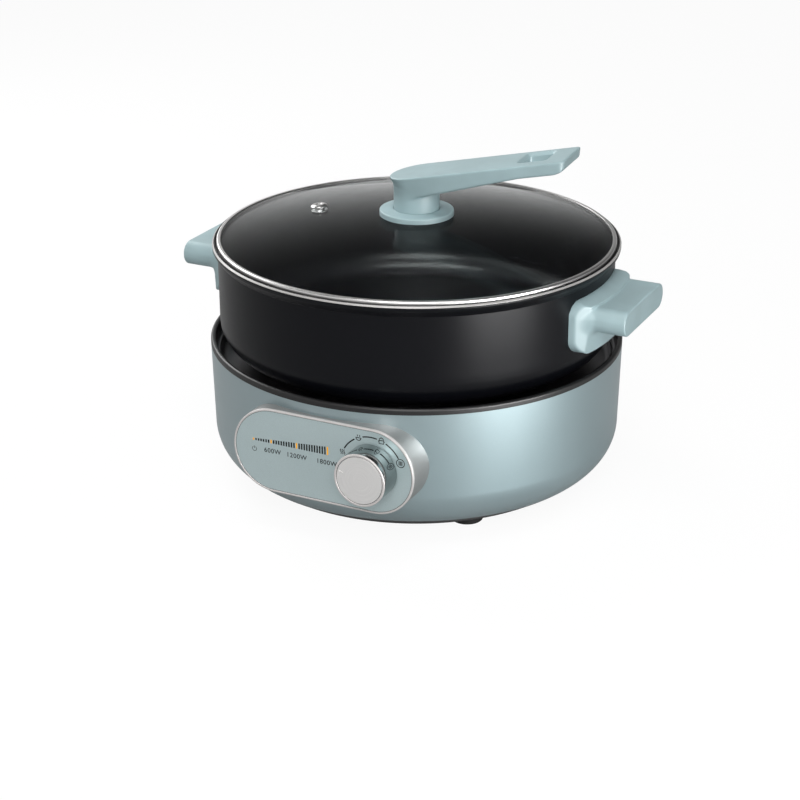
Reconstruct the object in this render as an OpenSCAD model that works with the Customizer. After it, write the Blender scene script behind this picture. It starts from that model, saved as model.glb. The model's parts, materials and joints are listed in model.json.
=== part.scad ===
// Electric hot pot with a lift-off glass lid.
// Frame: Z up, origin on the worktop under the centre of the pot, control panel towards -Y,
// pot handles along X. Millimetres.

/* [Base housing] */
// Outer radius of the housing at its top edge
base_top_r = 158.6; // [157.5:0.1:160]
// Outer radius where the side wall meets the bottom rounding
base_waist_r = 157; // [156:0.1:158]
// Radius of the rounding between side wall and bottom
base_corner_r = 33.6; // [32.5:0.1:36]
// Height at which the bottom rounding starts
base_corner_z = 41.9; // [41:0.1:43]
// Height of the housing's top edge
base_top_z = 105.4; // [104:0.1:107]
// Wall thickness of the housing
base_wall = 2; // [1.6:0.1:2.4]
// Height of the rubber feet
foot_h = 8; // [6:0.5:8]
// Radius of each rubber foot
foot_r = 12; // [10:0.5:13]
// Distance of the feet from the centre
foot_pitch_r = 113.5; // [108:0.5:116]

/* [Heating] */
// Radius of the cast heating plate
plate_r = 88; // [86.5:0.5:100]
// Thickness of the heating plate
plate_t = 8; // [7:0.5:8]
// Radius of the hole for the sensor
plate_hole_r = 16; // [15.5:0.1:18]
// Centre line radius of the heating tube
element_r = 62; // [55:1:68]
// Number of turns of the sensor spring
spring_turns = 6; // [5:1:8]

/* [Pot] */
// Outer radius of the pot wall
pot_r = 151; // [150:0.1:151.5]
// Wall and floor thickness of the pot
pot_wall = 2.5; // [2:0.1:2.6]
// Outer radius of the flared rim
rim_r = 155; // [154.8:0.1:156]
// Height of the rim above the worktop
rim_z = 185; // [184.5:0.1:186]
// Height of the bottom of the sole above the worktop
sole_z = 101.5; // [101:0.1:102]
// Inner radius between floor and wall
pot_fillet_r = 20; // [16:0.5:24]

/* [Pot handles] */
// Distance of the outer face of each grip from the centre
grip_reach = 184.1; // [178:0.1:190]
// Width of the grip
grip_w = 82.4; // [70:0.2:86]
// Height of the top face of the grip
grip_top_z = 164.5; // [162:0.5:166]
// Thickness of the grip
grip_t = 19; // [17:0.5:20]
// Width of the mounting pad on the pot wall
pad_w = 94.6; // [90:0.2:100]

/* [Lid] */
// Outer radius of the steel ring
lid_r = 151.7; // [151.2:0.1:152]
// Thickness of the glass
glass_t = 4; // [4:0.1:4]
// Rise of the glass from its edge to its centre
dome_rise = 16.4; // [14:0.1:20]
// Radius of the disc under the handle
disc_r = 28.2; // [24:0.1:32]
// Thickness of the disc under the handle
disc_t = 5; // [4:0.1:6]
// Distance of the steam vent from the centre
vent_pitch_r = 81; // [60:1:100]
// Turn of the lid about the vertical axis
lid_turn = 4.3; // [0:0.1:30]

/* [Lid handle] */
// Length of the handle from the centre to its end
arm_l = 124.4; // [110:0.1:128]
// Width of the handle
arm_w = 45; // [42:0.5:48]
// Height of the top face, above the centre
arm_z = 236.8; // [234:0.1:240]
// Slope of the top face, rise over run
arm_slope = 0.214; // [0.2:0.001:0.22]
// Radius of the stem
stem_r = 17.4; // [16:0.1:19]
// Length of the hanging hole
hang_l = 18.5; // [16:0.5:23]
// Width of the hanging hole
hang_w = 25; // [22:0.5:30]

/* [Control panel] */
// Distance of the panel face from the centre
panel_y = 163; // [162.5:0.1:164]
// Centre of the panel, sideways
panel_x = 4.2; // [3:0.1:5]
// Centre of the panel, above the worktop
panel_z = 65.6; // [65:0.1:66]
// Radius of the rounded ends of the panel
panel_r = 32.4; // [32:0.1:33]
// Half the distance between the centres of the rounded ends
panel_half = 40.1; // [39.5:0.1:41]
// Number of bars in the power scale
bar_count = 30; // [30:1:30]
// Distance between neighbouring bars
bar_pitch = 2.09; // [2:0.01:2.1]

/* [Knob] */
// Radius of the knob
knob_r = 19.9; // [18:0.1:21]
// Length of the knob
knob_l = 19.4; // [17:0.1:22]
// Place of the knob, sideways
knob_x = 44; // [43.5:0.1:44.5]
// Place of the knob, above the worktop
knob_z = 67; // [66:0.1:67.5]

/* [Hidden] */

$fn = 128;
eps = 0.01;

// Colours
aqua = "#a3b9bd";
aqua_metal = "#8fa6a8";
black = "#1c1c1e";
graphite = "#2c2d30";
steel = "#c9cccf";
dark_steel = "#8d9094";
silver = "#d9dadb";
amber = "#e9a320";
board_green = "#2f5a3c";

// Base housing
cover_t = 2;
base_bottom_z = foot_h + cover_t;
lip_r = 128;
lip_t = 1.9;
corner_cx = base_waist_r - base_corner_r;
corner_end = asin((base_corner_z - base_bottom_z) / base_corner_r);
// The bottom cover lies under the housing's lower edge, a little inside its outline
cover_inset = 0.4;
cover_r = corner_cx + base_corner_r * cos(corner_end) - cover_inset;
cover_post_h = 6;
ring_in_r = base_top_r - 4;
ring_top_z = base_top_z + 4.6;
well_top_z = base_top_z - 5.4;
well_t = 1.2;
well_floor_z = 90;
well_r = ring_in_r - 2.2;
well_hole_r = 78;

// Heating plate, shield and sensor
plate_bottom_z = sole_z - plate_t;
standoff_pitch_r = 83;
plate_screw_r = 1.6;
shield_r = 91.2;
shield_z = 74.8;
shield_flange_r = 100;
element_depth = 5.5;
terminal_angles = [-56, 236];
terminal_r = 1.6;
cutout_pitch_r = 35;
cutout_r = 8.5;
cutout_h = 6;
sensor_r = 14.5;
sensor_skirt = 9.5;
sensor_top_t = 1.5;
sensor_stem_r = 5;
running_gap = 0.06;
guide_flange_r = 14;
guide_flange_z = shield_z + well_t + 2;
guide_r = 7.5;
guide_top_z = 88;
guide_bottom_z = 68;
sensor_travel = 2;
clip_t = 1;
spring_wire_r = 0.8;
spring_coil_r = 10.4;
spring_sides = 6;
spring_steps = 16;

// Fasteners
foot_angles = [45, 135, 225, 315];
screw_r = 2;
screw_head_r = 3.8;
screw_head_t = 2;
screw_end_z = 30;
screw_seat_z = 3.5;
post_r = 5.5;

// Pot
pot_in_r = pot_r - pot_wall;
sole_t = 1.2;
pot_bottom_z = sole_z + sole_t;
pot_floor_z = pot_bottom_z + pot_wall;
ledge_z = rim_z - 2.7;
ledge_r = rim_r - 2.1;
crease_z = rim_z - 9;
sole_r = 116;

// Pot handles
pad_bottom_z = 129;
pad_top_z = 169.3;
pad_ridge_z = 166;
pad_t = 12;
pad_corner = 12;
grip_corner = 7;
bracket_t = 2;
tongue_z = 153;
tongue_t = 3;
tongue_x = 172;
handle_screw_x = 166;
handle_screw_z = 148.2;

// Lid
ring_t = 0.6;
lid_bottom_z = ledge_z;
lid_top_z = lid_bottom_z + 2 * ring_t + glass_t;
lid_lip_r = lid_r - 3.1;
glass_r = lid_r - ring_t;
glass_top_z = lid_top_z - ring_t;
dome_top_z = glass_top_z + dome_rise;
dome_ball_r = (lid_lip_r * lid_lip_r + dome_rise * dome_rise) / (2 * dome_rise);
dome_ball_z = dome_top_z - dome_ball_r;
vent_r = 4;
vent_flange_r = 6.4;
vent_bore_r = 1.9;
vent_tilt = asin(vent_pitch_r / dome_ball_r);
disc_top_z = dome_top_z - 0.6 + disc_t;
disc_seat_z = disc_top_z - 1.5;
lid_screw_r = 2.4;
lid_screw_depth = 18;
gasket_r = 14;
gasket_t = 2;
washer_r = 11.5;
washer_t = 1;
washer_z = dome_top_z - glass_t - gasket_t;

// Lid handle
arm_tilt = atan(arm_slope);
arm_under_z = 218.8;
arm_under_tilt = atan(0.303);
arm_edge = 1.2;
arm_corner_r = 4;
arm_root_r = 20.3;
under_root_r = 16;
under_corner_r = 3.5;
hang_s = 93.8;
hang_t = 2.5;
hang_bevel = 2.4;

// Control panel
trim_w = 1.5;
face_recess = 0.5;
face_t = 1.5;
face_y = panel_y;
face_back_y = face_y - face_t;
trim_y = panel_y + face_recess;
housing_wall = 2.4;
panel_opening_r = panel_r - 6;
bar_x = -51.9;
bar_z = 71.4;
bar_w = 1.15;
bar_min_h = 1.5;
bar_step_h = 0.165;
bar_proud = 0.1;
amber_places = [0, 7, 17, 29];
guide_bar_t = 2.5;
board_t = 1.6;

// Knob and switch
knob_gap = 0.6;
knob_back_y = face_y + knob_gap;
knob_front_y = knob_back_y + knob_l;
knob_face_depth = 1;
pointer_angle = 162;
shaft_r = 3;
bushing_r = 4.5;
switch_r = 13;
switch_back_y = 149;

// Power inlet at the back
inlet_z = 62;
inlet_w = 46;
inlet_h = 32;
inlet_wall = 2.5;
inlet_flange_y = 150;
inlet_front_y = 160.5;
inlet_floor_y = 142;
inlet_body_w = inlet_w - 7;
inlet_body_h = inlet_h - 7;
pin_r = 2;
pin_l = 11;
pin_pitch = 9;

// Points of an arc in a radius-height section
function arc_points(cx, cz, r, from, to, steps) = [
    for (i = [0:steps])
        let (a = from + (to - from) * i / steps)
        [cx + r * cos(a), cz + r * sin(a)]
];

function reversed(points) = [for (i = [len(points) - 1:-1:0]) points[i]];

// Section of the housing's outer surface, from the top edge down, moved inwards by inset
function housing_line(inset) = concat(
    [[base_top_r - inset, base_top_z]],
    arc_points(corner_cx, base_corner_z, base_corner_r - inset, 0, -corner_end, 14)
);

// Section of the glass surface from its edge to the centre, moved down by drop
function dome_line(drop) = [
    for (i = [0:16])
        let (r = lid_lip_r * (1 - i / 16))
        [r, dome_ball_z + sqrt(dome_ball_r * dome_ball_r - r * r) - drop]
];

// Everything inside the housing's outer surface
module housing_solid() {
    rotate_extrude()
        polygon(concat([[0, base_top_z]], housing_line(0), [[0, base_bottom_z]]));
}

// Outline with two round ends, around the origin
module stadium(r, half) {
    square([2 * half, 2 * r], center = true);
    for (side = [-1, 1])
        translate([side * half, 0])
            circle(r);
}

// Prism with the panel's outline, between two distances in front of the centre
module panel_prism(r, from_y, to_y) {
    translate([panel_x, -from_y, panel_z])
        rotate([90, 0, 0])
            linear_extrude(to_y - from_y)
                stadium(r, panel_half);
}

// Round bar along Y at the knob's place, between two distances in front of the centre
module knob_rod(r, from_y, to_y) {
    translate([knob_x, -from_y, knob_z])
        rotate([90, 0, 0])
            cylinder(r = r, h = to_y - from_y);
}

// Rounded rectangle around a centre, made of true arcs
module round_rect(w, h, r) {
    square([w - 2 * r, h], center = true);
    square([w, h - 2 * r], center = true);
    for (x = [-1, 1], y = [-1, 1])
        translate([x * (w / 2 - r), y * (h / 2 - r)])
            circle(r);
}

// Places its children at each foot
module at_feet() {
    for (a = foot_angles)
        rotate([0, 0, a])
            translate([foot_pitch_r, 0, 0])
                children();
}

// Places its children at the three screws of the heating plate
module at_plate_screws() {
    for (a = [90, 210, 330])
        rotate([0, 0, a])
            translate([standoff_pitch_r, 0, 0])
                children();
}

// Base

module base_shell() {
    color(aqua_metal)
        difference() {
            rotate_extrude()
                polygon(concat(
                    housing_line(0),
                    [[lip_r, base_bottom_z], [lip_r, base_bottom_z + lip_t]],
                    reversed(housing_line(base_wall))
                ));
            panel_prism(panel_opening_r, 100, 175);
            translate([0, inlet_floor_y - 10, inlet_z])
                rotate([-90, 0, 0])
                    linear_extrude(40)
                        square([inlet_body_w, inlet_body_h], center = true);
        }
}

module top_ring() {
    color(black)
        rotate_extrude()
            polygon([
                [base_top_r, base_top_z], [base_top_r, ring_top_z - 1.6],
                [base_top_r - 0.6, ring_top_z - 0.5], [base_top_r - 1.6, ring_top_z],
                [base_top_r - 2.6, ring_top_z - 0.1], [ring_in_r + 0.5, ring_top_z - 1],
                [ring_in_r, ring_top_z - 3], [ring_in_r, well_top_z],
                [ring_in_r + 1.6, well_top_z], [ring_in_r + 1.6, base_top_z]
            ]);
}

module heat_well() {
    color(steel)
        difference() {
            rotate_extrude()
                polygon([
                    [well_hole_r, well_floor_z - well_t], [well_r - 6, well_floor_z - well_t],
                    [well_r, well_floor_z + 5], [well_r, well_top_z - well_t],
                    [ring_in_r + 1.4, well_top_z - well_t], [ring_in_r + 1.4, well_top_z],
                    [well_r - well_t, well_top_z], [well_r - well_t, well_floor_z + 5.5],
                    [well_r - 6.6, well_floor_z], [well_hole_r, well_floor_z]
                ]);
            at_plate_screws()
                translate([0, 0, well_floor_z - 5])
                    cylinder(r = plate_screw_r, h = 10);
        }
}

module heating_plate() {
    color(dark_steel)
        difference() {
            rotate_extrude()
                polygon([
                    [plate_hole_r, plate_bottom_z], [plate_r, plate_bottom_z],
                    [plate_r, sole_z - 1.5], [plate_r - 1.5, sole_z],
                    [plate_hole_r + 1, sole_z], [plate_hole_r, sole_z - 1]
                ]);
            at_plate_screws()
                translate([0, 0, plate_bottom_z - 1])
                    cylinder(r = plate_screw_r, h = 4.5);
        }
}

module heating_element() {
    color(dark_steel) {
        rotate([0, 0, -60])
            rotate_extrude(angle = 300)
                polygon([
                    [element_r - 3.5, plate_bottom_z], [element_r - 2, plate_bottom_z - element_depth],
                    [element_r + 2, plate_bottom_z - element_depth], [element_r + 3.5, plate_bottom_z]
                ]);
        for (a = terminal_angles)
            rotate([0, 0, a])
                translate([element_r, 0, shield_z - 5])
                    cylinder(r = terminal_r, h = plate_bottom_z - element_depth - shield_z + 5.5);
    }
}

module plate_standoffs() {
    standoff_r = 4;
    color(steel)
        at_plate_screws()
            translate([0, 0, well_floor_z])
                difference() {
                    cylinder(r = standoff_r, h = plate_bottom_z - well_floor_z);
                    translate([0, 0, -1])
                        cylinder(r = plate_screw_r, h = 10);
                }
}

module plate_screws() {
    head_r = 3;
    head_t = 1.8;
    grip_depth = 3.5;
    color(steel)
        at_plate_screws() {
            translate([0, 0, well_floor_z - well_t - head_t])
                cylinder(r = head_r, h = head_t);
            translate([0, 0, well_floor_z - well_t])
                cylinder(r = plate_screw_r, h = plate_bottom_z + grip_depth - well_floor_z + well_t);
        }
}

module heat_shield() {
    flange_z = well_floor_z - well_t;
    color(steel)
        difference() {
            rotate_extrude()
                polygon([
                    [10, shield_z], [shield_r, shield_z], [shield_r, flange_z - well_t],
                    [shield_flange_r, flange_z - well_t], [shield_flange_r, flange_z],
                    [shield_r - well_t, flange_z], [shield_r - well_t, shield_z + well_t],
                    [10, shield_z + well_t]
                ]);
            for (a = terminal_angles)
                rotate([0, 0, a])
                    translate([element_r, 0, shield_z - 5])
                        cylinder(r = terminal_r + 2.4, h = 10);
        }
}

module sensor_guide() {
    color(black)
        rotate_extrude()
            polygon([
                [sensor_stem_r + running_gap, guide_bottom_z], [10, guide_bottom_z],
                [10, shield_z + well_t], [guide_flange_r, shield_z + well_t],
                [guide_flange_r, guide_flange_z], [guide_r, guide_flange_z],
                [guide_r, guide_top_z], [sensor_stem_r + running_gap, guide_top_z]
            ]);
}

module thermal_cutout() {
    tab_w = 3;
    tab_t = 0.8;
    tab_l = 7;
    color(graphite)
        rotate([0, 0, 90])
            translate([cutout_pitch_r, 0, plate_bottom_z - cutout_h]) {
                cylinder(r = cutout_r, h = cutout_h);
                for (y = [-5, 5])
                    translate([-tab_w / 2, y - tab_t / 2, -tab_l])
                        cube([tab_w, tab_t, tab_l]);
            }
}

module frame_posts() {
    color(black)
        at_feet()
            difference() {
                translate([0, 0, base_bottom_z])
                    cylinder(r = post_r, h = well_floor_z - well_t - base_bottom_z);
                cylinder(r = screw_r, h = screw_end_z);
            }
}

module bottom_cover() {
    vent_slots = 24;
    slot_start_r = 52;
    slot_l = 26;
    slot_w = 3;
    color(black)
        difference() {
            union() {
                rotate_extrude()
                    polygon([
                        [0, foot_h], [cover_r - 0.8, foot_h], [cover_r, foot_h + 0.8],
                        [cover_r, base_bottom_z], [lip_r - 0.4, base_bottom_z],
                        [lip_r - 0.4, base_bottom_z + cover_post_h],
                        [lip_r - 2.4, base_bottom_z + cover_post_h],
                        [lip_r - 2.4, base_bottom_z], [0, base_bottom_z]
                    ]);
                for (x = [-30, 30], y = [-20, 20])
                    translate([x, y, base_bottom_z])
                        cylinder(r = 3, h = cover_post_h);
            }
            at_feet()
                translate([0, 0, foot_h - 1])
                    cylinder(r = screw_r, h = 10);
            for (i = [0:vent_slots - 1])
                rotate([0, 0, (i + 0.5) * 360 / vent_slots])
                    translate([slot_start_r, -slot_w / 2, foot_h - 1])
                        cube([slot_l, slot_w, cover_t + 2]);
        }
}

module feet() {
    color(graphite)
        at_feet()
            rotate_extrude()
                polygon([
                    [screw_head_r + 0.4, 0], [foot_r - 0.8, 0], [foot_r, 0.8], [foot_r + 0.4, foot_h],
                    [screw_r, foot_h], [screw_r, screw_seat_z], [screw_head_r + 0.4, screw_seat_z]
                ]);
}

module cover_screws() {
    color(steel)
        at_feet() {
            translate([0, 0, screw_seat_z - screw_head_t])
                cylinder(r = screw_head_r, h = screw_head_t);
            translate([0, 0, screw_seat_z])
                cylinder(r = screw_r, h = screw_end_z - screw_seat_z);
        }
}

// Board with a relay, a filter block and a capacitor
module power_board() {
    board_z = base_bottom_z + cover_post_h;
    relay = [22, 18, 16];
    filter = [26, 12, 20];
    capacitor_r = 7;
    capacitor_h = 18;
    color(board_green)
        translate([-36, -26, board_z])
            cube([72, 52, board_t]);
    color(graphite) {
        translate([-28, -18, board_z + board_t])
            cube(relay);
        translate([2, -20, board_z + board_t])
            cube(filter);
        translate([10, 6, board_z + board_t])
            cylinder(r = capacitor_r, h = capacitor_h);
    }
}

module control_housing() {
    color(silver)
        difference() {
            panel_prism(panel_r, 118, face_back_y);
            panel_prism(panel_r - housing_wall, 110, face_back_y + 5);
            housing_solid();
        }
}

module trim_ring() {
    color(silver)
        difference() {
            panel_prism(panel_r, face_back_y, trim_y);
            panel_prism(panel_r - trim_w, face_back_y - 5, trim_y + 5);
        }
}

// One bar of the power scale, as a prism between two distances in front of the centre
module scale_bar(i, from_y, to_y) {
    translate([bar_x + i * bar_pitch - bar_w / 2, -to_y, bar_z])
        cube([bar_w, to_y - from_y, bar_min_h + i * bar_step_h]);
}

function is_amber(i) = len(search(i, amber_places)) > 0;

module control_face() {
    color(aqua_metal)
        difference() {
            panel_prism(panel_r - trim_w, face_back_y, face_y);
            knob_rod(bushing_r, face_back_y - 5, face_y + 5);
            for (i = [0:bar_count - 1])
                scale_bar(i, face_back_y - 5, face_y + 5);
        }
}

module dark_bars() {
    color(black)
        for (i = [0:bar_count - 1])
            if (!is_amber(i))
                scale_bar(i, face_back_y, face_y + bar_proud);
}

module amber_bars() {
    color(amber)
        for (i = amber_places)
            scale_bar(i, face_back_y, face_y + bar_proud);
}

module light_guide() {
    margin = 2;
    highest_bar = bar_min_h + bar_count * bar_step_h;
    color("#dfe6e8")
        translate([bar_x - margin, -face_back_y, bar_z - margin / 2])
            cube([(bar_count - 1) * bar_pitch + 2 * margin, guide_bar_t, highest_bar + margin]);
}

module control_board() {
    board_w = 82;
    board_h = 34;
    color(board_green)
        translate([-56, -face_back_y + guide_bar_t, 50])
            cube([board_w, board_t, board_h]);
}

module rotary_switch() {
    tab_w = 2;
    tab_t = 0.8;
    tab_l = 10;
    color(graphite)
        difference() {
            union() {
                knob_rod(switch_r, switch_back_y, face_back_y);
                knob_rod(bushing_r, face_back_y - 1, face_y - 0.2);
                for (x = [-6, 0, 6])
                    translate([knob_x + x - tab_w / 2, -face_back_y + 5, knob_z - switch_r - 7])
                        cube([tab_w, tab_t, tab_l]);
            }
            knob_rod(shaft_r + running_gap, switch_back_y + 1.5, face_y + 5);
        }
}

module inlet_socket() {
    color(black)
        difference() {
            union() {
                difference() {
                    translate([0, inlet_flange_y, inlet_z])
                        rotate([-90, 0, 0])
                            linear_extrude(inlet_front_y - inlet_flange_y)
                                round_rect(inlet_w, inlet_h, 6);
                    housing_solid();
                }
                translate([0, inlet_floor_y - inlet_wall, inlet_z])
                    rotate([-90, 0, 0])
                        linear_extrude(inlet_front_y - inlet_floor_y)
                            square([inlet_body_w, inlet_body_h], center = true);
            }
            translate([0, inlet_floor_y, inlet_z])
                rotate([-90, 0, 0])
                    linear_extrude(40)
                        round_rect(inlet_body_w - 2 * inlet_wall, inlet_body_h - 2 * inlet_wall, 4);
        }
}

module inlet_pins() {
    color(steel)
        for (i = [-1:1])
            translate([i * pin_pitch, inlet_floor_y, inlet_z + (i == 0 ? 3 : -2)])
                rotate([-90, 0, 0])
                    cylinder(r = pin_r, h = pin_l);
}

// Knob

module knob_cap() {
    hub_r = 6.5;
    skirt_t = 2.4;
    rim_w = 1.7;
    hub_depth = 4;
    hollow_depth = 6;
    color(silver)
        translate([knob_x, -knob_back_y, knob_z])
            rotate([90, 0, 0])
                rotate_extrude()
                    polygon([
                        [shaft_r, 0.4], [hub_r, 0.4], [hub_r, knob_l - hollow_depth],
                        [knob_r - skirt_t, knob_l - hollow_depth], [knob_r - skirt_t, 0], [knob_r, 0],
                        [knob_r, knob_l - 0.8], [knob_r - 0.8, knob_l], [knob_r - rim_w, knob_l],
                        [knob_r - rim_w, knob_l - knob_face_depth], [0, knob_l - knob_face_depth],
                        [0, knob_l - hub_depth], [shaft_r, knob_l - hub_depth]
                    ]);
}

module knob_disc() {
    disc_inset = 0.15;
    notch = [3, 1.5, 0.9];
    color("#c4c6c8")
        difference() {
            knob_rod(knob_r - 2.1, knob_front_y - knob_face_depth, knob_front_y - disc_inset);
            translate([knob_x, -knob_front_y - 1, knob_z])
                rotate([0, -pointer_angle, 0])
                    translate([knob_r - 6.4, 0, -notch[2] / 2])
                        cube(notch);
        }
}

module knob_shaft() {
    color(steel)
        knob_rod(shaft_r, switch_back_y + 2, knob_front_y - 4);
}

// Sensor under the pot

module sensor_cap() {
    color(steel) {
        rotate_extrude()
            polygon([
                [0, sole_z - sensor_top_t], [sensor_r - 1.2, sole_z - sensor_top_t],
                [sensor_r - 1.2, sole_z - sensor_skirt], [sensor_r, sole_z - sensor_skirt],
                [sensor_r, sole_z - 0.8], [sensor_r - 0.8, sole_z], [0, sole_z]
            ]);
        translate([0, 0, guide_bottom_z - sensor_travel - clip_t - 1])
            cylinder(r = sensor_stem_r, h = sole_z - 1 - guide_bottom_z + sensor_travel + clip_t + 1);
    }
}

module sensor_clip() {
    color(dark_steel)
        translate([0, 0, guide_bottom_z - sensor_travel - clip_t])
            difference() {
                cylinder(r = guide_r, h = clip_t);
                translate([0, 0, -1])
                    cylinder(r = sensor_stem_r, h = 5);
            }
}

// Centre line of the spring's wire: a helix between its flange and the cap
spring_rings = spring_turns * spring_steps;
spring_low_z = guide_flange_z + spring_wire_r;
spring_high_z = sole_z - sensor_top_t - spring_wire_r;

function spring_ring(i) =
    let (
        turn = i * 360 / spring_steps,
        z = spring_low_z + (spring_high_z - spring_low_z) * i / spring_rings
    )
    [
        for (k = [0:spring_sides - 1])
            let (
                a = k * 360 / spring_sides + 90,
                r = spring_coil_r + spring_wire_r * cos(a)
            )
            [r * cos(turn), r * sin(turn), z + spring_wire_r * sin(a)]
    ];

module sensor_spring() {
    points = [for (i = [0:spring_rings]) each spring_ring(i)];
    last = spring_rings * spring_sides;
    sides = [
        for (i = [0:spring_rings - 1], k = [0:spring_sides - 1])
            let (
                a = i * spring_sides + k,
                b = i * spring_sides + (k + 1) % spring_sides
            )
            each [[a, b, b + spring_sides], [a, b + spring_sides, a + spring_sides]]
    ];
    start_cap = [for (k = [1:spring_sides - 2]) [0, k + 1, k]];
    end_cap = [for (k = [1:spring_sides - 2]) [last, last + k, last + k + 1]];
    color(steel)
        polyhedron(points, concat(sides, start_cap, end_cap));
}

// Pot

module pot_body() {
    fillet_cx = pot_in_r - pot_fillet_r;
    fillet_cz = pot_floor_z + pot_fillet_r;
    color(black)
        rotate_extrude()
            polygon(concat(
                [[0, pot_bottom_z]],
                arc_points(fillet_cx, fillet_cz, pot_fillet_r + pot_wall, -90, 0, 12),
                [
                    [pot_r, crease_z], [pot_r + 1.4, crease_z + 1.6], [pot_r + 3, crease_z + 3.4],
                    [rim_r - 0.3, crease_z + 5], [rim_r, crease_z + 6.4],
                    [rim_r, rim_z - 0.7], [rim_r - 0.7, rim_z], [ledge_r + 0.5, rim_z],
                    [ledge_r, rim_z - 0.4], [ledge_r, ledge_z], [pot_in_r, ledge_z],
                    [pot_in_r - 0.4, ledge_z - 0.6], [pot_in_r, ledge_z - 4]
                ],
                reversed(arc_points(fillet_cx, fillet_cz, pot_fillet_r, -90, 0, 12)),
                [[0, pot_floor_z]]
            ));
}

module pot_sole() {
    color(steel)
        rotate_extrude()
            polygon([
                [0, sole_z], [sole_r - 0.8, sole_z], [sole_r, sole_z + 0.8], [sole_r, pot_bottom_z],
                [0, pot_bottom_z]
            ]);
}

// Thin upright slab with rounded corners, for the handle's lofts
module handle_slab(x, half_w, low_z, high_z, r) {
    translate([x, 0, (low_z + high_z) / 2])
        rotate([90, 0, 90])
            linear_extrude(eps)
                offset(r = r, $fn = 32)
                    square([2 * (half_w - r), high_z - low_z - 2 * r], center = true);
}

// Steel bracket on the pot wall, towards +X
module bracket_shape() {
    plate_w = 30;
    plate_h = 17;
    tongue_w = 20;
    intersection() {
        rotate_extrude()
            translate([pot_r, pad_bottom_z])
                square([bracket_t, pad_top_z - pad_bottom_z]);
        translate([100, -plate_w / 2, tongue_z - 7])
            cube([100, plate_w, plate_h]);
    }
    translate([pot_r + 0.5, -tongue_w / 2, tongue_z])
        cube([tongue_x - pot_r - 0.5, tongue_w, tongue_t]);
}

// Pad and grip of one pot handle, towards +X. The pad keeps a ridge round the root of the grip.
module pot_handle() {
    grip_low_z = grip_top_z - grip_t;
    ridge_r = pot_r + pad_t;
    half = grip_w / 2;
    difference() {
        union() {
            intersection() {
                rotate_extrude()
                    polygon([
                        [pot_r, pad_bottom_z], [pot_r + 8.4, pad_bottom_z + 0.4],
                        [pot_r + 9.6, pad_bottom_z + 1.8], [ridge_r, pad_ridge_z - 1],
                        [ridge_r - 0.8, pad_ridge_z + 0.2], [pot_r, pad_top_z]
                    ]);
                hull() {
                    handle_slab(pot_r - 16, pad_w / 2, pad_bottom_z, pad_top_z, pad_corner);
                    handle_slab(pot_r - 1.6, pad_w / 2 - 0.9, pad_bottom_z, pad_top_z, pad_corner);
                    handle_slab(pot_r - 0.8, pad_w / 2 - 1.6, pad_bottom_z, pad_top_z, pad_corner);
                    handle_slab(ridge_r, half - 6, pad_bottom_z + 1, pad_top_z, pad_corner);
                }
            }
            hull() {
                handle_slab(pot_r - 8, half + 0.6, grip_low_z - 0.4, grip_top_z + 0.4, grip_corner);
                handle_slab(grip_reach - 1.2, half, grip_low_z, grip_top_z, grip_corner);
                handle_slab(grip_reach - eps, half - 1, grip_low_z + 1, grip_top_z - 1, grip_corner - 1);
            }
            hull() {
                handle_slab(pot_r - 2, half + 3.4, grip_low_z - 4.4, grip_top_z + 1, 10);
                handle_slab(pot_r + 6, half + 2.4, grip_low_z - 3.4, grip_top_z + 0.9, 9);
                handle_slab(pot_r + 15, half + 0.4, grip_low_z - 0.4, grip_top_z + 0.3, grip_corner + 0.4);
            }
        }
        translate([0, 0, pad_bottom_z - 5])
            cylinder(r = pot_r, h = pad_top_z - pad_bottom_z + 10);
        bracket_shape();
        translate([handle_screw_x, 0, handle_screw_z])
            cylinder(r = screw_r, h = 10);
        translate([handle_screw_x, 0, grip_low_z - 8])
            cylinder(r = screw_head_r + 0.4, h = handle_screw_z - grip_low_z + 8);
    }
}

module handle_right() {
    color(aqua)
        pot_handle();
}

module handle_left() {
    color(aqua)
        mirror([1, 0, 0])
            pot_handle();
}

// Repeats its children on both sides of the pot
module both_sides() {
    children();
    mirror([1, 0, 0])
        children();
}

module handle_brackets() {
    color(steel)
        both_sides()
            difference() {
                bracket_shape();
                translate([handle_screw_x, 0, tongue_z - 1])
                    cylinder(r = screw_r, h = tongue_t + 2);
            }
}

module handle_screws() {
    color(steel)
        both_sides()
            translate([handle_screw_x, 0, handle_screw_z]) {
                translate([0, 0, -screw_head_t])
                    cylinder(r = screw_head_r, h = screw_head_t);
                cylinder(r = screw_r, h = 9.5);
            }
}

// Lid

// Places its children on the glass at the steam vent, upright to the surface
module at_vent() {
    rotate([0, 0, 180 + lid_turn])
        translate([0, 0, dome_ball_z])
            rotate([0, vent_tilt, 0])
                translate([0, 0, dome_ball_r])
                    children();
}

module glass_solid() {
    rotate_extrude()
        polygon(concat(
            [[0, lid_bottom_z + ring_t], [glass_r, lid_bottom_z + ring_t], [glass_r, glass_top_z]],
            dome_line(0)
        ));
}

module lid_glass() {
    color("#5b6264", 0.4)
        difference() {
            rotate_extrude()
                polygon(concat(
                    [[glass_r, lid_bottom_z + ring_t], [glass_r, glass_top_z]],
                    dome_line(0),
                    reversed(dome_line(glass_t))
                ));
            translate([0, 0, 150])
                cylinder(r = lid_screw_r, h = 100);
            at_vent()
                translate([0, 0, -10])
                    cylinder(r = vent_r, h = 20);
        }
}

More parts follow.
